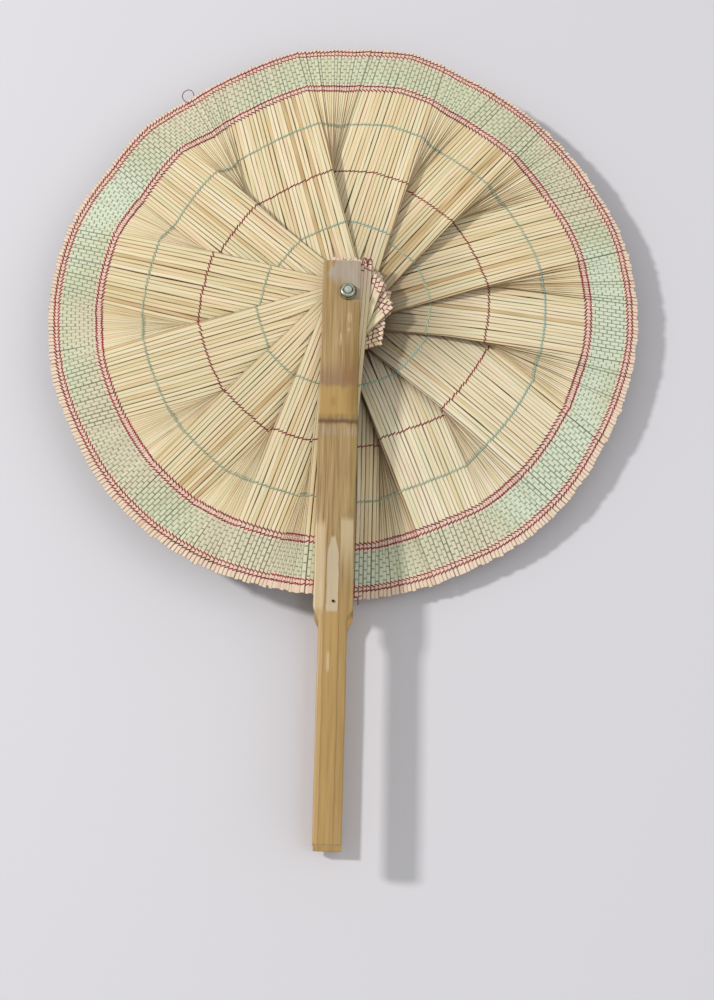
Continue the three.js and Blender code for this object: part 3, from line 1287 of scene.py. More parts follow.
@dataclass
class PleatedMat:
    """The sewn mat: rigid panels on their bodies, and return walls built in groups of sticks, which are not
    turned.
    """

    plan: FoldPlan = field(default_factory=FoldPlan)
    stick_blank: StickBlank = field(default_factory=StickBlank)
    band_rows: int = 8
    band_start: float = 7.7
    band_pitch: float = 1.92
    part_reach_across: float = 4.0
    part_reach_along: float = 20.0
    held_border: Border = (24.0, 44.0)
    inner_free_over: float = 14.0
    least_free: float = 0.25
    near_wave: float = 11.0
    far_wave: float = 4.3
    crowded_from: float = 0.6
    least_fanned: float = 0.01
    fibre_step: float = 0.037
    side_from: float = 0.45
    edge_at_bevel: float = 0.88
    # How strong the painted shade near the pivot is at most
    soiled_most: float = 1.3
    thread_up: float = 0.12
    thread_stray: float = 0.07
    maroon_stray: float = 0.14
    twined_span: float = 1.16
    plain_span: float = 1.02
    arch_power: float = 2.6
    thread_seam_power: float = 3.0
    thread_fibre_unit: float = 10.0
    thread_fibre_step: float = 0.31
    thread_seed: int = 9000
    seeds_for_row: int = 600
    sticks_in_group: int = 3
    fold_span: float = 100000.0

    def __post_init__(self) -> None:
        """Models the stick and the stretch of thread that are copied."""
        self.stick = self.stick_blank.made()
        self.wrap = WrapBlank().made()

    def rows(self) -> list[ThreadRow]:
        """Lists the thread rows, from the rim inwards.

        Returns:
            The rows.
        """
        twined, plain = Weave.TWINED, Weave.PLAIN
        rim_pair = [
            ThreadRow(3.9, Finish.CRIMSON, twined, 0.34, 1.1),
            ThreadRow(5.9, Finish.CRIMSON, twined, 0.29, -1.0),
        ]
        band = [
            ThreadRow(self.band_start + row * self.band_pitch, Finish.TEAL, plain, 0.27, 0.1, odd=row % 2)
            for row in range(self.band_rows)
        ]
        inner_rows = [
            ThreadRow(23.2, Finish.CRIMSON, twined, 0.34, 1.15),
            ThreadRow(25.5, Finish.CRIMSON, twined, 0.34, -1.1),
            ThreadRow(44.7, Finish.PALE_TEAL, twined, 0.42, 1.0),
            ThreadRow(71.0, Finish.MAROON, twined, 0.34, 1.15),
            ThreadRow(98.4, Finish.PALE_TEAL, twined, 0.42, 1.0),
            ThreadRow(2.3, Finish.MAROON, twined, 0.27, 0.6, from_outer=False),
            ThreadRow(5.0, Finish.MAROON, twined, 0.27, -0.6, from_outer=False),
        ]
        return rim_pair + band + inner_rows

    def bend(self, sticks: StickBatch) -> tuple[np.ndarray, ...]:
        """Works out how the batch's sticks bend, at the stations where a stick has corners.

        Args:
            sticks: The batch.

        Returns:
            For each stick and station: the shift aside, the share of the lift, and the roll.
        """
        inner = sticks.inner[:, None]
        along = inner + (sticks.outer[:, None] - inner) * self.stick_blank.stations
        across = sticks.across[:, None]
        near_bolt = np.exp(-np.abs(across) / self.part_reach_across - (along / self.part_reach_along) ** 2)
        free = climb(sticks.rim[:, None] - along, *self.held_border)
        free = free * np.clip((along - inner) / self.inner_free_over, self.least_free, 1)
        near, near_phase, far, far_phase = [sticks.sway[:, k, None] for k in range(4)]
        sway = near * np.sin(along / self.near_wave + near_phase)
        sway = sway + far * np.sin(along / self.far_wave + far_phase)
        shift = np.sign(across) * self.plan.bolt_part * near_bolt + free * sway
        return shift, self.plan.rise(along), sticks.roll[:, None] + self.crowding(sticks, along)

    def crowding(self, sticks: StickBatch, along: np.ndarray) -> np.ndarray:
        """Works out how far sticks roll where they crowd, like shingles: each one lies on the next.

        Args:
            sticks: The batch.
            along: Distances from the pivot axis, for each stick and station.

        Returns:
            The roll at each station, in radians.
        """
        waist = sticks.waist[:, None]
        if not waist.any():
            return np.zeros_like(along)
        plan = self.plan
        pitch = plan.stick_pitch * np.maximum(np.abs(along / waist - 1), self.least_fanned)
        shingled = np.arcsin(np.clip(plan.stick_thickness / pitch, 0, math.sin(plan.most_roll)))
        resting = math.asin(plan.stick_thickness / plan.stick_pitch)
        return np.maximum(shingled - resting, 0) * climb(along, self.crowded_from * waist, waist)

    def place(self, sticks: StickBatch, along: np.ndarray, side: np.ndarray, up: np.ndarray) -> np.ndarray:
        """Puts points that are given along, beside and above their sticks into space.

        Args:
            sticks: The batch.
            along: Distances from the pivot axis, for each stick and point.
            side: Clockwise distances from the stick's centre line.
            up: Heights above the stick's underside.

        Returns:
            The places, in millimetres.
        """
        stations = self.stick_blank.stations
        share = climb(along, sticks.inner[:, None], sticks.outer[:, None])
        before = np.clip(np.searchsorted(stations, share, side="right") - 1, 0, len(stations) - 2)
        part_way = (share - stations[before]) / (stations[before + 1] - stations[before])
        shift, rise, roll = [
            np.take_along_axis(values, before, 1) * (1 - part_way)
            + np.take_along_axis(values, before + 1, 1) * part_way
            for values in self.bend(sticks)
        ]
        slope = sticks.tilt[:, None] * rise + roll
        middle = sticks.thickness[:, None] / 2
        line = sticks.across[:, None] + shift + side - (up - middle) * slope
        height = sticks.height[:, None] + sticks.lift[:, None] * rise + up + side * slope
        turn = sticks.angle[:, None]
        x = -along * np.sin(turn) - line * np.cos(turn)
        y = -along * np.cos(turn) + line * np.sin(turn)
        return np.stack([x, y, height], axis=2)

    def add_sticks(self, gatherer: MeshGatherer, sticks: StickBatch) -> None:
        """Adds the sticks of a batch.

        Args:
            gatherer: The piece's gatherer.
            sticks: The batch.
        """
        lengthwise, sideways, upwards = self.stick.corners.T[:, None, :]
        inner = sticks.inner[:, None]
        along = inner + (sticks.outer[:, None] - inner) * lengthwise
        side = sticks.width[:, None] * sideways
        up = sticks.thickness[:, None] * upwards
        from_rim = (sticks.rim[:, None] - along) / FIBRE_UNIT
        lateral = sticks.number[:, None] * self.fibre_step + (side + up) / FIBRE_UNIT
        # The edge mark darkens each stick's lower sides and bevels: the darker raw split edge, and painted
        # shade in the gaps
        low = 1 - np.clip(upwards, 0, 1)
        edge = np.clip(self.edge_at_bevel * low / self.stick_blank.ease_down, 0, 1)
        seam = np.where(sideways < 0, sticks.seams[:, :1], sticks.seams[:, 1:])
        # Painted shade near the pivot, fading out along the stick
        soil = np.clip(self.soiled_most * (1 - along / sticks.soiled_to[:, None]), 0, 1)
        marks = {
            "tone": sticks.tone[:, None],
            "edge": edge * seam * (np.abs(sideways) > self.side_from),
            "soiled": sticks.soiled[:, None] * soil,
        }
        corners = self.place(sticks, along, side, up)
        gatherer.add(self.stick, corners, Finish.STICKS, marks, np.stack([from_rim, lateral], axis=2))

    def add_row(self, gatherer: MeshGatherer, sticks: StickBatch, row: ThreadRow, row_number: int) -> None:
        """Adds the stretches of one thread row over and under the sticks of a batch.

        Args:
            gatherer: The piece's gatherer.
            sticks: The batch.
            row: The row.
            row_number: The row's number, which sets its small differences.
        """
        for over in (True, False):
            if row.weave is Weave.PLAIN:
                is_over = (sticks.number + row.odd) % 2 == 0
                chosen = np.flatnonzero(is_over == over)
            else:
                chosen = np.arange(len(sticks.number))
            if len(chosen):
                self._add_stretches(gatherer, sticks.part(chosen), row, row_number, over)

    def _add_stretches(
        self, gatherer: MeshGatherer, sticks: StickBatch, row: ThreadRow, row_number: int, over: bool
    ) -> None:
        """Adds the stretches of one row that pass on one side of their sticks.

        Args:
            gatherer: The piece's gatherer.
            sticks: The sticks that they pass.
            row: The row.
            row_number: The row's number.
            over: Whether they pass over the sticks, and not under them.
        """
        sideways, lengthwise, upwards = self.wrap.corners.T[:, None, :]
        count = len(sticks.number)
        dice = np.random.default_rng(
            self.thread_seed + self.seeds_for_row * row_number + int(sticks.number[0])
        )
        base = sticks.rim - row.from_end if row.from_outer else sticks.inner + row.from_end
        stray = self.maroon_stray if row.finish is Finish.MAROON else self.thread_stray
        base = (base + dice.normal(0, stray, count))[:, None]
        direction = 1 if over else -1
        reach = 2 * lengthwise
        span = self.twined_span if row.weave is Weave.TWINED else self.plain_span
        along = base + direction * row.slant * reach / 2 + row.half_width * sideways
        side = self.plan.stick_pitch * span / 2 * reach + np.zeros((count, 1))
        middle = sticks.thickness[:, None] / 2
        clear = middle + self.thread_up
        arch = middle + direction * clear * (1 - np.abs(reach) ** self.arch_power)
        corners = self.place(sticks, along, side, arch + self.thread_up * upwards)
        lateral = side / self.thread_fibre_unit + sticks.number[:, None] * self.thread_fibre_step
        fibres = np.stack([(along - base) / self.thread_fibre_unit, lateral], axis=2)
        # The edge mark is painted shade toward the stretch's ends, between sticks
        marks = {"tone": dice.random(count)[:, None], "edge": np.abs(reach) ** self.thread_seam_power}
        gatherer.add(self.wrap, corners, row.finish, marks, fibres)

    def wall(self, name: str, sticks: StickBatch) -> bpy.types.Object:
        """Makes a piece of a wall: its sticks and the thread that passes them.

        Args:
            name: The piece's name.
            sticks: The batch.

        Returns:
            The piece.
        """
        gatherer = MeshGatherer()
        self.add_sticks(gatherer, sticks)
        for number, row in enumerate(self.rows()):
            self.add_row(gatherer, sticks, row, number)
        return gatherer.finished(name)

    def body_of_panel(self, i: int) -> str:
        """Names the body that carries a panel.

        Args:
            i: The panel's number.

        Returns:
            The body's name.
        """
        if i == 0:
            return "front_half"
        return "root" if i == self.plan.last else f"panel_{i:02d}"

    def build(self) -> None:
        """Builds all panels and return walls."""
        for i in range(self.plan.last + 1):
            piece = self.wall(f"panel_sticks_{i:02d}", self.plan.panel(i))
            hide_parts(f"panel_{i:02d}")
            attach(piece, self.body_of_panel(i))
        for i in range(self.plan.last):
            self._build_return(i)

    def _build_return(self, i: int) -> None:
        """Builds a return wall in groups of sticks.

        Args:
            i: The number of the panel before it.
        """
        sticks = self.plan.return_wall(i)
        count = len(sticks.number)
        for group, start in enumerate(range(0, count, self.sticks_in_group)):
            chosen = slice(start, min(start + self.sticks_in_group, count))
            piece = self.wall(f"return_sticks_{i:02d}_{group}", sticks.part(chosen))
            self.turn_with_return(piece, i, start)
            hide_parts(f"return_{i:02d}")

    def turn_with_return(self, piece: bpy.types.Object, i: int, stick: int) -> None:
        """Bakes a return piece's place into its mesh; the piece is not turned.

        Args:
            piece: The piece.
            i: Not used.
            stick: Not used.
        """
        self._turn_by_share(piece)

    def _turn_by_share(self, piece: bpy.types.Object) -> None:
        """Bakes the piece's place into its mesh; the piece is not turned.

        Args:
            piece: The piece.
        """
        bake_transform(piece)


# Handle halves


class Side(Enum):
    """Which half of the handle it is: the direction of its outer face along Z."""

    FRONT = 1
    BACK = -1


@dataclass(frozen=True)
class SideFacet:
    """A facet that was scraped along one edge above the grip, and runs out to the edge at its top."""

    direction: int
    line: float
    run_out: float
    run_border: Border
    top: float
    slope: float = 0.2

    def depth(self, across: np.ndarray, y: np.ndarray) -> np.ndarray:
        """Gives how deep the facet is at places across and along the slat."""
        line = self.line + self.run_out * climb(y, *self.run_border) ** 2
        return np.maximum(0, self.direction * across - line) * self.slope * (y < self.top)


@dataclass(frozen=True)
class Wave:
    """A slight unevenness: its height, its length for each radian, and its phase."""

    height: float
    length: float
    phase: float = 0.0

    def at(self, place: np.ndarray) -> np.ndarray:
        """Gives the wave's height at places."""
        return self.height * np.sin(place / self.length + self.phase)


@dataclass(frozen=True)
class Swell:
    """A low ridge, or a groove if its height is negative: its height, its middle and its half width."""

    height: float
    middle: float
    half_width: float

    def at(self, place: np.ndarray) -> np.ndarray:
        """Gives the swell's height at places."""
        return self.height * np.exp(-(((place - self.middle) / self.half_width) ** 2))


@dataclass
class HandleHalf:
    """A flat slat of split bamboo with rounded shoulders above a narrower, faceted grip."""

    side: Side
    inner_height: float
    body: str
    node: str
    centre: float = -3.0
    top: float = 16.0
    bottom: float = -249.0
    half_width: float = 8.7
    grip_half: float = 6.2
    shoulder_border: Border = (-147.0, -154.0)
    thickness: float = 3.8
    crown: float = 0.22
    ease: float = 0.55
    corner_ease: float = 0.5
    end_length: float = 1.2
    end_ease: float = 0.4
    end_ease_length: float = 0.8
    columns: int = 44
    edge_gather: float = 0.35
    end_rows: int = 4
    upper_rows: int = 40
    rows_up_to: tuple[tuple[float, int], ...] = (
        (-158.0, 46),
        (-144.0, 28),
        (-118.0, 20),
        (-99.0, 26),
        (-66.0, 18),
        (-55.0, 30),
    )
    bore: float = 2.25
    bore_sides: int = 40
    cutter_length: float = 15.2
    smooth_below: float = 32.0
    node_at: float = -63.0
    node_bow: float = 0.006
    node_swells: tuple[Swell, ...] = (Swell(0.2, 1.3, 1.3), Swell(-0.3, 0.0, 0.55), Swell(0.12, -1.7, 1.2))
    node_width: Swell = Swell(0.14, 1.0, 2.0)
    edge_waves: tuple[Wave, ...] = (Wave(0.07, 17.0), Wave(0.05, 6.1, 1.3))
    face_wave: Wave = Wave(0.03, 9.0)
    rib_height: float = 0.02
    rib_across: float = 2.1
    rib_along: float = 0.05
    side_facets: tuple[SideFacet, ...] = (
        SideFacet(1, 2.3, 6.6, (-109.0, -102.0), -101.0),
        SideFacet(-1, 4.0, 4.9, (-113.0, -104.0), -103.0),
    )
    middle_facet: float = 0.28
    middle_across: tuple[Border, Border] = ((-3.3, -2.95), (2.1, 1.75))
    middle_along: tuple[Border, Border] = ((-147.0, -146.4), (-111.5, -114.5))

    def rows(self) -> np.ndarray:
        """Gives the places of the cross rows, closer together where the shape changes.

        Returns:
            Places along the slat, from the bottom to the top.
        """
        stretches = [
            (self.bottom + self.end_length, self.end_rows),
            *self.rows_up_to,
            (self.top - self.end_length, self.upper_rows),
            (self.top, self.end_rows),
        ]
        rows = []
        low = self.bottom
        for high, count in stretches:
            rows.append(np.linspace(low, high, count, endpoint=False))
            low = high
        return np.concatenate([*rows, [self.top]])

    def half_width_at(self, y: np.ndarray) -> np.ndarray:
        """Gives half the slat's width along it.

        Args:
            y: Places along the slat.

        Returns:
            Half widths.
        """
        share = climb(y, *self.shoulder_border)
        shoulder = share * share * (3 - 2 * share)
        half = self.half_width + (self.grip_half - self.half_width) * shoulder
        half = half + sum(wave.at(y) for wave in self.edge_waves)
        corner = self.corner_ease * climb(y, self.top - self.end_length, self.top) ** 2
        return half + self.node_width.at(y - self.node_at) - corner

    def outer_height(self, across: np.ndarray, y: np.ndarray, half: np.ndarray) -> np.ndarray:
        """Gives the height of the outer face above the inner face.

        Args:
            across: Distances from the centre line.
            y: Places along the slat.
            half: Half widths at those places.

        Returns:
            Heights.
        """
        height = self.thickness - self.crown * (across / self.half_width) ** 2
        height = height - sum(facet.depth(across, y) for facet in self.side_facets)
        middle = self.middle_facet
        for values, borders in ((across, self.middle_across), (y, self.middle_along)):
            for border in borders:
                middle = middle * climb(values, *border)
        from_node = y - self.node_at - self.node_bow * across**2
        height = height - middle + sum(swell.at(from_node) for swell in self.node_swells)
        at_edge = climb(np.abs(across), half - self.ease, half)
        height = height - self.ease * self._rounded(at_edge)
        past_end = np.maximum(y - self.top, self.bottom - y)
        height = height - self.end_ease * self._rounded(climb(past_end, -self.end_ease_length, 0))
        ribs = self.rib_height * np.sin(across * self.rib_across + y * self.rib_along)
        return height + ribs + self.face_wave.at(y)

    def _rounded(self, share: np.ndarray) -> np.ndarray:
        """Gives the drop of a rounded edge, from 0 where it starts to 1 at its end."""
        return 1 - np.sqrt(np.clip(1 - share**2, 0, 1))

    def build(self) -> None:
        """Models the slat and bores it for the bolt."""
        rows = self.rows()
        deselect_all()
        bpy.ops.mesh.primitive_grid_add(x_subdivisions=self.columns, y_subdivisions=len(rows) - 1, size=2)
        slat = bpy.context.active_object
        slat.name = slat.data.name = f"{self.node}_slat"
        edit_mode()
        bpy.ops.mesh.extrude_region_move(TRANSFORM_OT_translate={"value": (0, 0, 1)})
        object_mode()
        blank_x, blank_y, blank_z = np.array([vertex.co for vertex in slat.data.vertices], float).T
        row = np.rint((blank_y + 1) / 2 * (len(rows) - 1)).astype(int)
        y = rows[row]
        half = self.half_width_at(y)
        gathered = np.sin(blank_x * np.pi / 2) * self.edge_gather + blank_x * (1 - self.edge_gather)
        across = gathered * half
        height = np.where(blank_z > 0.5, self.outer_height(across, y, half), 0.0)
        places = np.stack([across + self.centre, y, self.inner_height + self.side.value * height], axis=1)
        slat.data.vertices.foreach_set("co", (places * MM).ravel())
        slat.data.update()
        edit_mode()
        bpy.ops.mesh.normals_make_consistent(inside=False)
        object_mode()
        self._bore(slat)
        bpy.ops.object.shade_smooth_by_angle(angle=math.radians(self.smooth_below))
        slat.data.materials.clear()
        slat.data.materials.append(Finish.SLAT.made())
        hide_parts(self.node)
        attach(slat, self.body)

    def _bore(self, slat: bpy.types.Object) -> None:
        """Cuts the bolt's bore.

        Args:
            slat: The piece, which is left as the active and only selected object.
        """
        middle = self.inner_height + self.side.value * self.thickness / 2
        deselect_all()
        bpy.ops.mesh.primitive_cylinder_add(
            vertices=self.bore_sides,
            radius=self.bore * MM,
            depth=self.cutter_length * MM,
            location=(0, 0, middle * MM),
        )
        cutter = bpy.context.active_object
        cut = slat.modifiers.new("bore", "BOOLEAN")
        cut.operation = "DIFFERENCE"
        cut.object = cutter
        cut.solver = "EXACT"
        select_only(slat)
        bpy.ops.object.modifier_apply(modifier=cut.name)
        bpy.data.objects.remove(cutter)


# Metal pieces


@dataclass
class SpunPiece:
    """A turned metal piece: points of distance from its axis and height, spun once round."""

    name: str
    node: str
    body: str
    finish: Finish
    slot: str
    profile: list[tuple[float, float]]
    centre: tuple[float, float] = (0.0, 0.0)
    steps: int = 48
    ring: bool = False
    merge_below: float = 0.002
    smooth_below: float = 38.0

    def build(self) -> None:
        """Spins the profile round its axis."""
        points = [(radius * MM, 0.0, height * MM) for radius, height in self.profile]
        lines = [(i, i + 1) for i in range(len(points) - 1)]
        if self.ring:
            lines.append((len(points) - 1, 0))
        mesh = bpy.data.meshes.new(self.name)
        mesh.from_pydata(points, lines, [])
        piece = put_in_scene(self.name, mesh)
        select_only(piece)
        edit_mode()
        bpy.ops.mesh.spin(steps=self.steps, angle=2 * math.pi, center=(0, 0, 0), axis=(0, 0, 1))
        bpy.ops.mesh.select_all(action="SELECT")
        bpy.ops.mesh.remove_doubles(threshold=self.merge_below * MM)
        bpy.ops.mesh.normals_make_consistent(inside=False)
        object_mode()
        bpy.ops.object.shade_smooth_by_angle(angle=math.radians(self.smooth_below))
        mesh.transform(Matrix.Translation((self.centre[0] * MM, self.centre[1] * MM, 0)))
        mesh.materials.append(self.finish.made())
        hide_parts(self.node)
        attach(piece, self.body)


@dataclass
class PivotHardware:
    """The bolt through the handle halves and the mat, with its washers and a low round nut."""

    bore: float = 2.25
    bore_chamfer: float = 0.1
    shank: float = 1.9
    head: float = 4.2
    head_height: float = 1.6
    head_dome: tuple[tuple[float, float], ...] = ((1.4, 0.05), (0.5, 0.25), (0.0, 0.8))
    washer: float = 4.0
    washer_height: float = 0.8
    washer_dome: float = 0.05
    back_washer_at: float = 1.8
    front_washer_at: float = 28.4
    nut: float = 3.15
    nut_at: float = 29.4
    nut_height: float = 1.7
    nut_dome: float = 0.7
    most_ease: float = 0.3
    rounded_share: float = 0.3
    crown_from_bore: float = 0.35
    crown_slope_share: float = 0.15
    stud_end: float = 31.8
    stud_tip: tuple[tuple[float, float], ...] = ((0.35, 0.08), (0.7, 0.0))
    plain_end: float = 0.3
    thread_pitch: float = 0.7
    thread_depth: float = 0.22
    thread_from: float = 26.0
    thread_turn: tuple[tuple[float, float], ...] = ((0.3, 1.0), (0.75, 0.0), (0.95, 0.0))

    def bolt_profile(self) -> list[tuple[float, float]]:
        """Gives the bolt's outline, with a domed head and ridges for its thread.

        Returns:
            Points of distance from the axis and height.
        """
        points = [(0.0, 0.0)]
        points += [(self.head - inwards, height) for inwards, height in self.head_dome]
        points += [(self.head, self.head_height), (self.shank, self.head_height)]
        points.append((self.shank, self.thread_from))
        height = self.thread_from
        while height + self.thread_pitch < self.stud_end - self.plain_end:
            for turn, depth in self.thread_turn:
                points.append((self.shank - depth * self.thread_depth, height + self.thread_pitch * turn))
            height += self.thread_pitch
        points += [(self.shank - inwards, self.stud_end - down) for inwards, down in self.stud_tip]
        return [*points, (0.0, self.stud_end)]

    def ring_profile(
        self, outer: float, low: float, height: float, dome: float
    ) -> list[tuple[float, float]]:
        """Gives the outline of a ring with eased edges.

        Args:
            outer: The outer radius.
            low: The height of its underside.
            height: Its thickness.
            dome: How far its upper face slopes down to its rim.

        Returns:
            Points of distance from the axis and height.
        """
        ease = min(self.most_ease, height / 4)
        slight = ease * self.rounded_share
        top = low + height
        rim_top = top - dome
        chamfer = self.bore_chamfer
        return [
            (self.bore - chamfer, low + chamfer / 2),
            (self.bore, low),
            (outer - ease, low),
            (outer - slight, low + slight),
            (outer, low + ease),
            (outer, rim_top - ease),
            (outer - slight, rim_top - slight),
            (outer - ease, rim_top),
            (self.bore + 2 * self.crown_from_bore, top - dome * self.crown_slope_share),
            (self.bore + self.crown_from_bore, top),
            (self.bore, top - chamfer / 2),
            (self.bore - chamfer, top - 2 * chamfer),
        ]

    def build(self) -> None:
        """Builds the bolt, the nut and the washers."""
        bright, plated, dull = Finish.BRIGHT_STEEL, Finish.PLATED_STEEL, Finish.DULL_STEEL
        front = self.ring_profile(self.washer, self.front_washer_at, self.washer_height, self.washer_dome)
        back = self.ring_profile(self.washer, self.back_washer_at, self.washer_height, self.washer_dome)
        nut = self.ring_profile(self.nut, self.nut_at, self.nut_height, self.nut_dome)
        pieces = [
            SpunPiece("bolt", "pivot_bolt", "root", bright, "bright_steel", self.bolt_profile()),
            SpunPiece("washer_front", "front_washer", "root", dull, "dull_steel", front, ring=True),
            SpunPiece("washer_back", "back_washer", "root", dull, "dull_steel", back, ring=True),
            SpunPiece("round_nut", "pivot_nut", "root", plated, "bright_steel", nut, ring=True),
        ]
        for piece in pieces:
            piece.build()


@dataclass
class Brad:
    """A small nail through a handle half, just past the rim.

    The points of its head's dome are shares of the head's radius and height.
    """

    side: Side
    face_height: float
    body: str
    node: str
    place: tuple[float, float] = (-3.0, -145.5)
    shank: float = 0.45
    point_length: float = 1.4
    head: float = 0.6
    head_height: float = 0.25
    head_dome: tuple[tuple[float, float], ...] = ((1.0, 0.4), (0.8, 0.72), (0.4, 1.0))
    length: float = 4.4
    seat: float = 0.2
    steps: int = 20

    def build(self) -> None:
        """Builds the brad."""
        low = self.seat
        outline = [
            (0.0, -self.length),
            (self.shank / 2, self.point_length / 2 - self.length),
            (self.shank, self.point_length - self.length),
            (self.shank, low),
            (self.head, low),
            *[(self.head * across, low + self.head_height * up) for across, up in self.head_dome],
            (0.0, low + self.head_height),
        ]
        profile = [(radius, self.face_height + self.side.value * height) for radius, height in outline]
        SpunPiece(
            f"{self.node}_nail",
            self.node,
            self.body,
            Finish.RUSTY_STEEL,
            "dull_steel",
            profile,
            centre=self.place,
            steps=self.steps,
        ).build()


# Loose thread


@dataclass
class ThreadEnd:
    """A short loose end or loop of thread, along given points."""

    name: str
    points: list[Point]
    finish: Finish = Finish.CRIMSON
    radius: float = 0.22
    rounding: int = 2
    curve_order: int = 3
    curve_steps: int = 6

    def build(self) -> bpy.types.Object:
        """Builds the thread end as a round tube along a smooth curve.

        Returns:
            The piece.
        """
        curve = bpy.data.curves.new(self.name, "CURVE")
        curve.dimensions = "3D"
        curve.bevel_depth = self.radius * MM
        curve.bevel_resolution = self.rounding
        curve.use_fill_caps = True
        spline = curve.splines.new("NURBS")
        spline.points.add(len(self.points) - 1)
        for point, place in zip(spline.points, self.points):
            point.co = (*(Vector(place) * MM), 1.0)
        spline.order_u = self.curve_order
        spline.use_endpoint_u = True
        spline.resolution_u = self.curve_steps
        select_only(put_in_scene(self.name, curve))
        bpy.ops.object.convert(target="MESH")
        piece = bpy.context.active_object
        bpy.ops.object.shade_smooth()
        piece.data.materials.clear()
        piece.data.materials.append(self.finish.made())
        return piece


@dataclass
class LooseThreads:
    """The loose ends and loops of the mat's threads.

    Heights are from the upper faces of the sticks that a thread lies on.
    """

    mat: PleatedMat
    hanging_panel: int = 3
    loop_wall: int = 5
    loop_stick: int = 14
    loop_radius: float = 0.25
    hanging_radius: float = 0.28
    rim_loop_radius: float = 0.2

    def _above(self, order: float, points: list[Point]) -> list[Point]:
        """Lays points on a wall, by its order and their heights above its sticks' upper faces."""
        top = self.mat.plan.level(order) + self.mat.plan.stick_thickness
        return [(x, y, top + height) for x, y, height in points]

    def on_first_panel(self) -> list[ThreadEnd]:
        """Lists the knotted tail at the rim beside the handle, and two loops round the inner ends.

        Returns:
            The thread ends.
        """
        rim = -self.mat.plan.rim_distances[0]
        tail = [
            (5.2, rim + 7.5, 0.0),
            (6.0, rim + 5.5, 0.8),
            (6.2, rim + 2.8, 0.9),
            (5.6, rim + 0.4, 0.2),
            (6.6, rim - 1.0, -0.2),
            (7.7, rim - 1.4, 0.1),
            (7.8, rim - 4.2, -0.4),
        ]
        knot = [(4.6, rim - 0.6, 0.0), (6.0, rim - 1.3, 0.4), (7.6, rim - 0.9, 0.5), (9.2, rim - 0.2, 0.0)]
        first = [(5.9, 15.2, 0.3), (6.3, 17.9, 0.6), (7.3, 19.2, 0.7), (8.3, 18.2, 0.6), (8.6, 15.4, 0.3)]
        second = [
            (8.4, 14.6, 0.2),
            (8.9, 17.6, 0.6),
            (9.9, 19.0, 0.5),
            (10.9, 17.4, 0.2),
            (10.6, 14.2, -0.6),
        ]
        return [
            ThreadEnd("rim_tail", self._above(0, tail)),
            ThreadEnd("rim_tail_knot", self._above(0, knot)),
            ThreadEnd("inner_loop_1", self._above(0, first), Finish.MAROON, self.loop_radius),
            ThreadEnd("inner_loop_2", self._above(0, second), Finish.MAROON, self.loop_radius),
        ]

    def hanging_end(self) -> ThreadEnd:
        """Gives the short end that hangs from the inner row, to the right of the pivot.

        Returns:
            The thread end.
        """
        points = [(9.2, -17.0, 0.3), (9.9, -19.4, 0.5), (9.4, -22.0, 0.0), (10.2, -24.6, -0.5)]
        placed = self._above(self.hanging_panel, points)
        return ThreadEnd("inner_hanging_end", placed, Finish.MAROON, self.hanging_radius)

    def rim_loop(self) -> ThreadEnd:
        """Gives the thin loop that stands out of the rim at the upper left.

        Returns:
            The thread end.
        """
        points = [
            (-78.5, 102.0, 0.0),
            (-82.0, 103.6, 0.6),
            (-82.4, 107.4, 0.9),
            (-79.6, 109.8, 0.8),
            (-77.0, 108.6, 0.5),
            (-76.8, 106.6, 0.2),
        ]
        return ThreadEnd("rim_loop", self._above(self.loop_wall + 0.5, points), radius=self.rim_loop_radius)

    def build(self) -> None:
        """Builds the thread ends, each but the rim loop on the body of the wall that it hangs from."""
        for thread in self.on_first_panel():
            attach(thread.build(), "front_half")
        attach(self.hanging_end().build(), self.mat.body_of_panel(self.hanging_panel))
        self.mat.turn_with_return(self.rim_loop().build(), self.loop_wall, self.loop_stick)


# Studio


@dataclass(frozen=True)
class SoftLamp:
    """A square lamp that faces the fan: its place and side in metres, and its power in watts."""

    name: str
    place: Point
    side: float
    power: float
    aim: Point = (0.0, -0.05, 0.0)

    def build(self) -> None:
        """Hangs the lamp."""
        light = bpy.data.lights.new(self.name, "AREA")
        light.size = self.side
        light.energy = self.power
        lamp = put_in_scene(self.name, light)
        lamp.location = self.place
        toward = Vector(self.aim) - Vector(self.place)
        lamp.rotation_euler = toward.to_track_quat("-Z", "Y").to_euler()


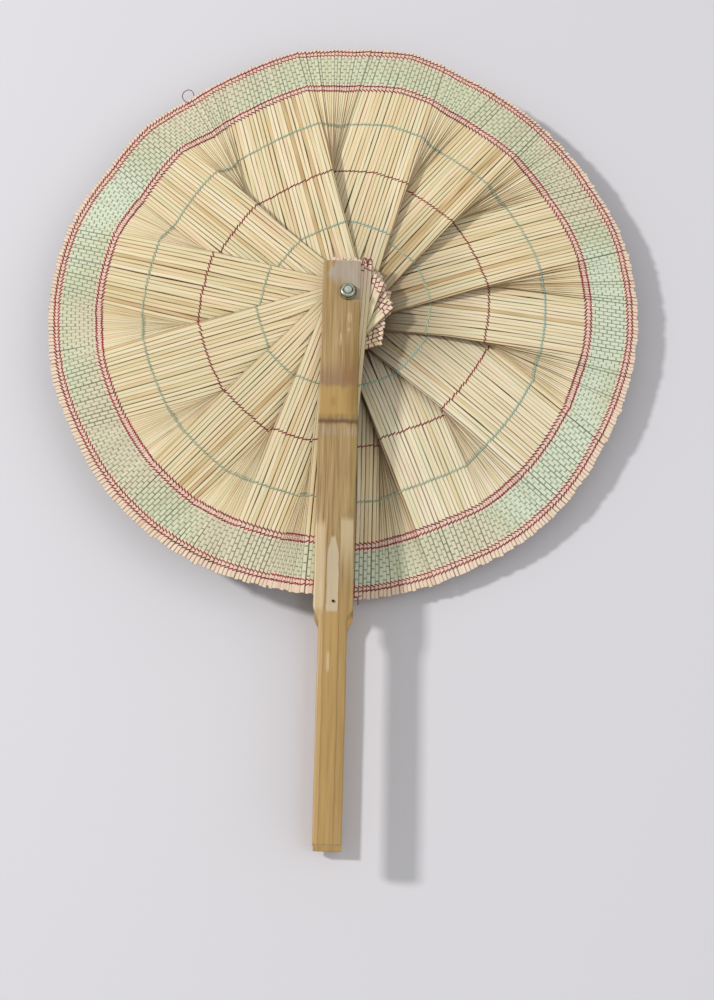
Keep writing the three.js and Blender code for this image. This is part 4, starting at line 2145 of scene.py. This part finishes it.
@dataclass
class Studio:
    """A pale floor, a key lamp to the upper left, a wide fill lamp and a camera at the photo's angle."""

    floor_half: float = 4000.0
    floor_height: float = -0.2
    floor_colour: Colour = srgb(226, 223, 226)
    floor_roughness: float = 0.85
    floor_gloss: float = 0.2
    lamps: tuple[SoftLamp, ...] = (
        SoftLamp("key", (-1.81, 0.4, 1.5), 0.2, 35.0),
        SoftLamp("fill", (1.1, -0.4, 1.5), 1.6, 7.0),
    )
    sky: Colour = (0.96, 0.98, 1.0, 1.0)
    sky_strength: float = 0.45
    camera_distance: float = 750.0
    camera_target: Point = (6.26, -97.0, 20.0)
    camera_elevation: float = 72.13
    camera_roll: float = 1.32
    focal_length: float = 1691.7
    image_height: int = 1000
    sensor_height: float = 24.0
    nearest: float = 0.01

    def build_floor(self) -> None:
        """Lays the floor under the fan."""
        deselect_all()
        side = 2 * self.floor_half * MM
        bpy.ops.mesh.primitive_plane_add(size=side, location=(0, 0, self.floor_height * MM))
        floor = bpy.context.active_object
        floor.name = "floor"
        graph = NodeGraph("pale_floor")
        graph.colour = self.floor_colour
        floor.data.materials.append(graph.finished(self.floor_roughness, self.floor_gloss))

    def build_light(self) -> None:
        """Hangs the lamps and lights the world."""
        for lamp in self.lamps:
            lamp.build()
        world = bpy.data.worlds.new("studio")
        bpy.context.scene.world = world
        world.use_nodes = True
        background = world.node_tree.nodes["Background"]
        background.inputs["Color"].default_value = self.sky
        background.inputs["Strength"].default_value = self.sky_strength

    def build_camera(self) -> None:
        """Sets the camera as the photograph was taken."""
        elevation = math.radians(self.camera_elevation)
        roll = math.radians(self.camera_roll)
        forward = Vector((0.0, math.cos(elevation), -math.sin(elevation)))
        place = (Vector(self.camera_target) - forward * self.camera_distance) * MM
        right = Vector((1.0, 0.0, 0.0))
        up = right.cross(forward)
        turned_right = math.cos(roll) * right + math.sin(roll) * up
        turned_up = -math.sin(roll) * right + math.cos(roll) * up
        camera_data = bpy.data.cameras.new("camera")
        camera_data.sensor_fit = "VERTICAL"
        camera_data.sensor_height = self.sensor_height
        camera_data.lens = self.focal_length * self.sensor_height / self.image_height
        camera_data.clip_start = self.nearest
        camera = put_in_scene("camera", camera_data)
        axes = Matrix((turned_right, turned_up, -forward)).transposed().to_4x4()
        camera.matrix_world = Matrix.Translation(place) @ axes
        bpy.context.scene.camera = camera

    def build(self) -> None:
        """Builds the studio."""
        self.build_floor()
        self.build_light()
        self.build_camera()
        bpy.context.scene.view_settings.view_transform = "Standard"


class Section(Protocol):
    """A part of the scene that can be built."""

    def build(self) -> None:
        """Builds its pieces."""


def build_and_report(section: Section) -> None:
    """Builds a part of the scene and reports its new pieces.

    Args:
        section: The part of the scene.
    """
    known = set(bpy.data.objects.keys())
    section.build()
    for name in sorted(set(bpy.data.objects.keys()) - known):
        LOG.info("%s made %s", type(section).__name__, name)


def main() -> None:
    """Builds the fan's looks in order."""
    logging.basicConfig(level=logging.INFO)
    build_and_report(Studio())
    mat = PleatedMat()
    build_and_report(mat)
    build_and_report(HandleHalf(Side.FRONT, inner_height=24.4, body="front_half", node="front_handle"))
    build_and_report(HandleHalf(Side.BACK, inner_height=6.6, body="root", node="back_handle"))
    build_and_report(PivotHardware())
    build_and_report(Brad(Side.FRONT, face_height=28.2, body="front_half", node="front_brad"))
    build_and_report(Brad(Side.BACK, face_height=2.8, body="root", node="back_brad"))
    build_and_report(LooseThreads(mat))


if __name__ == "__main__":
    main()
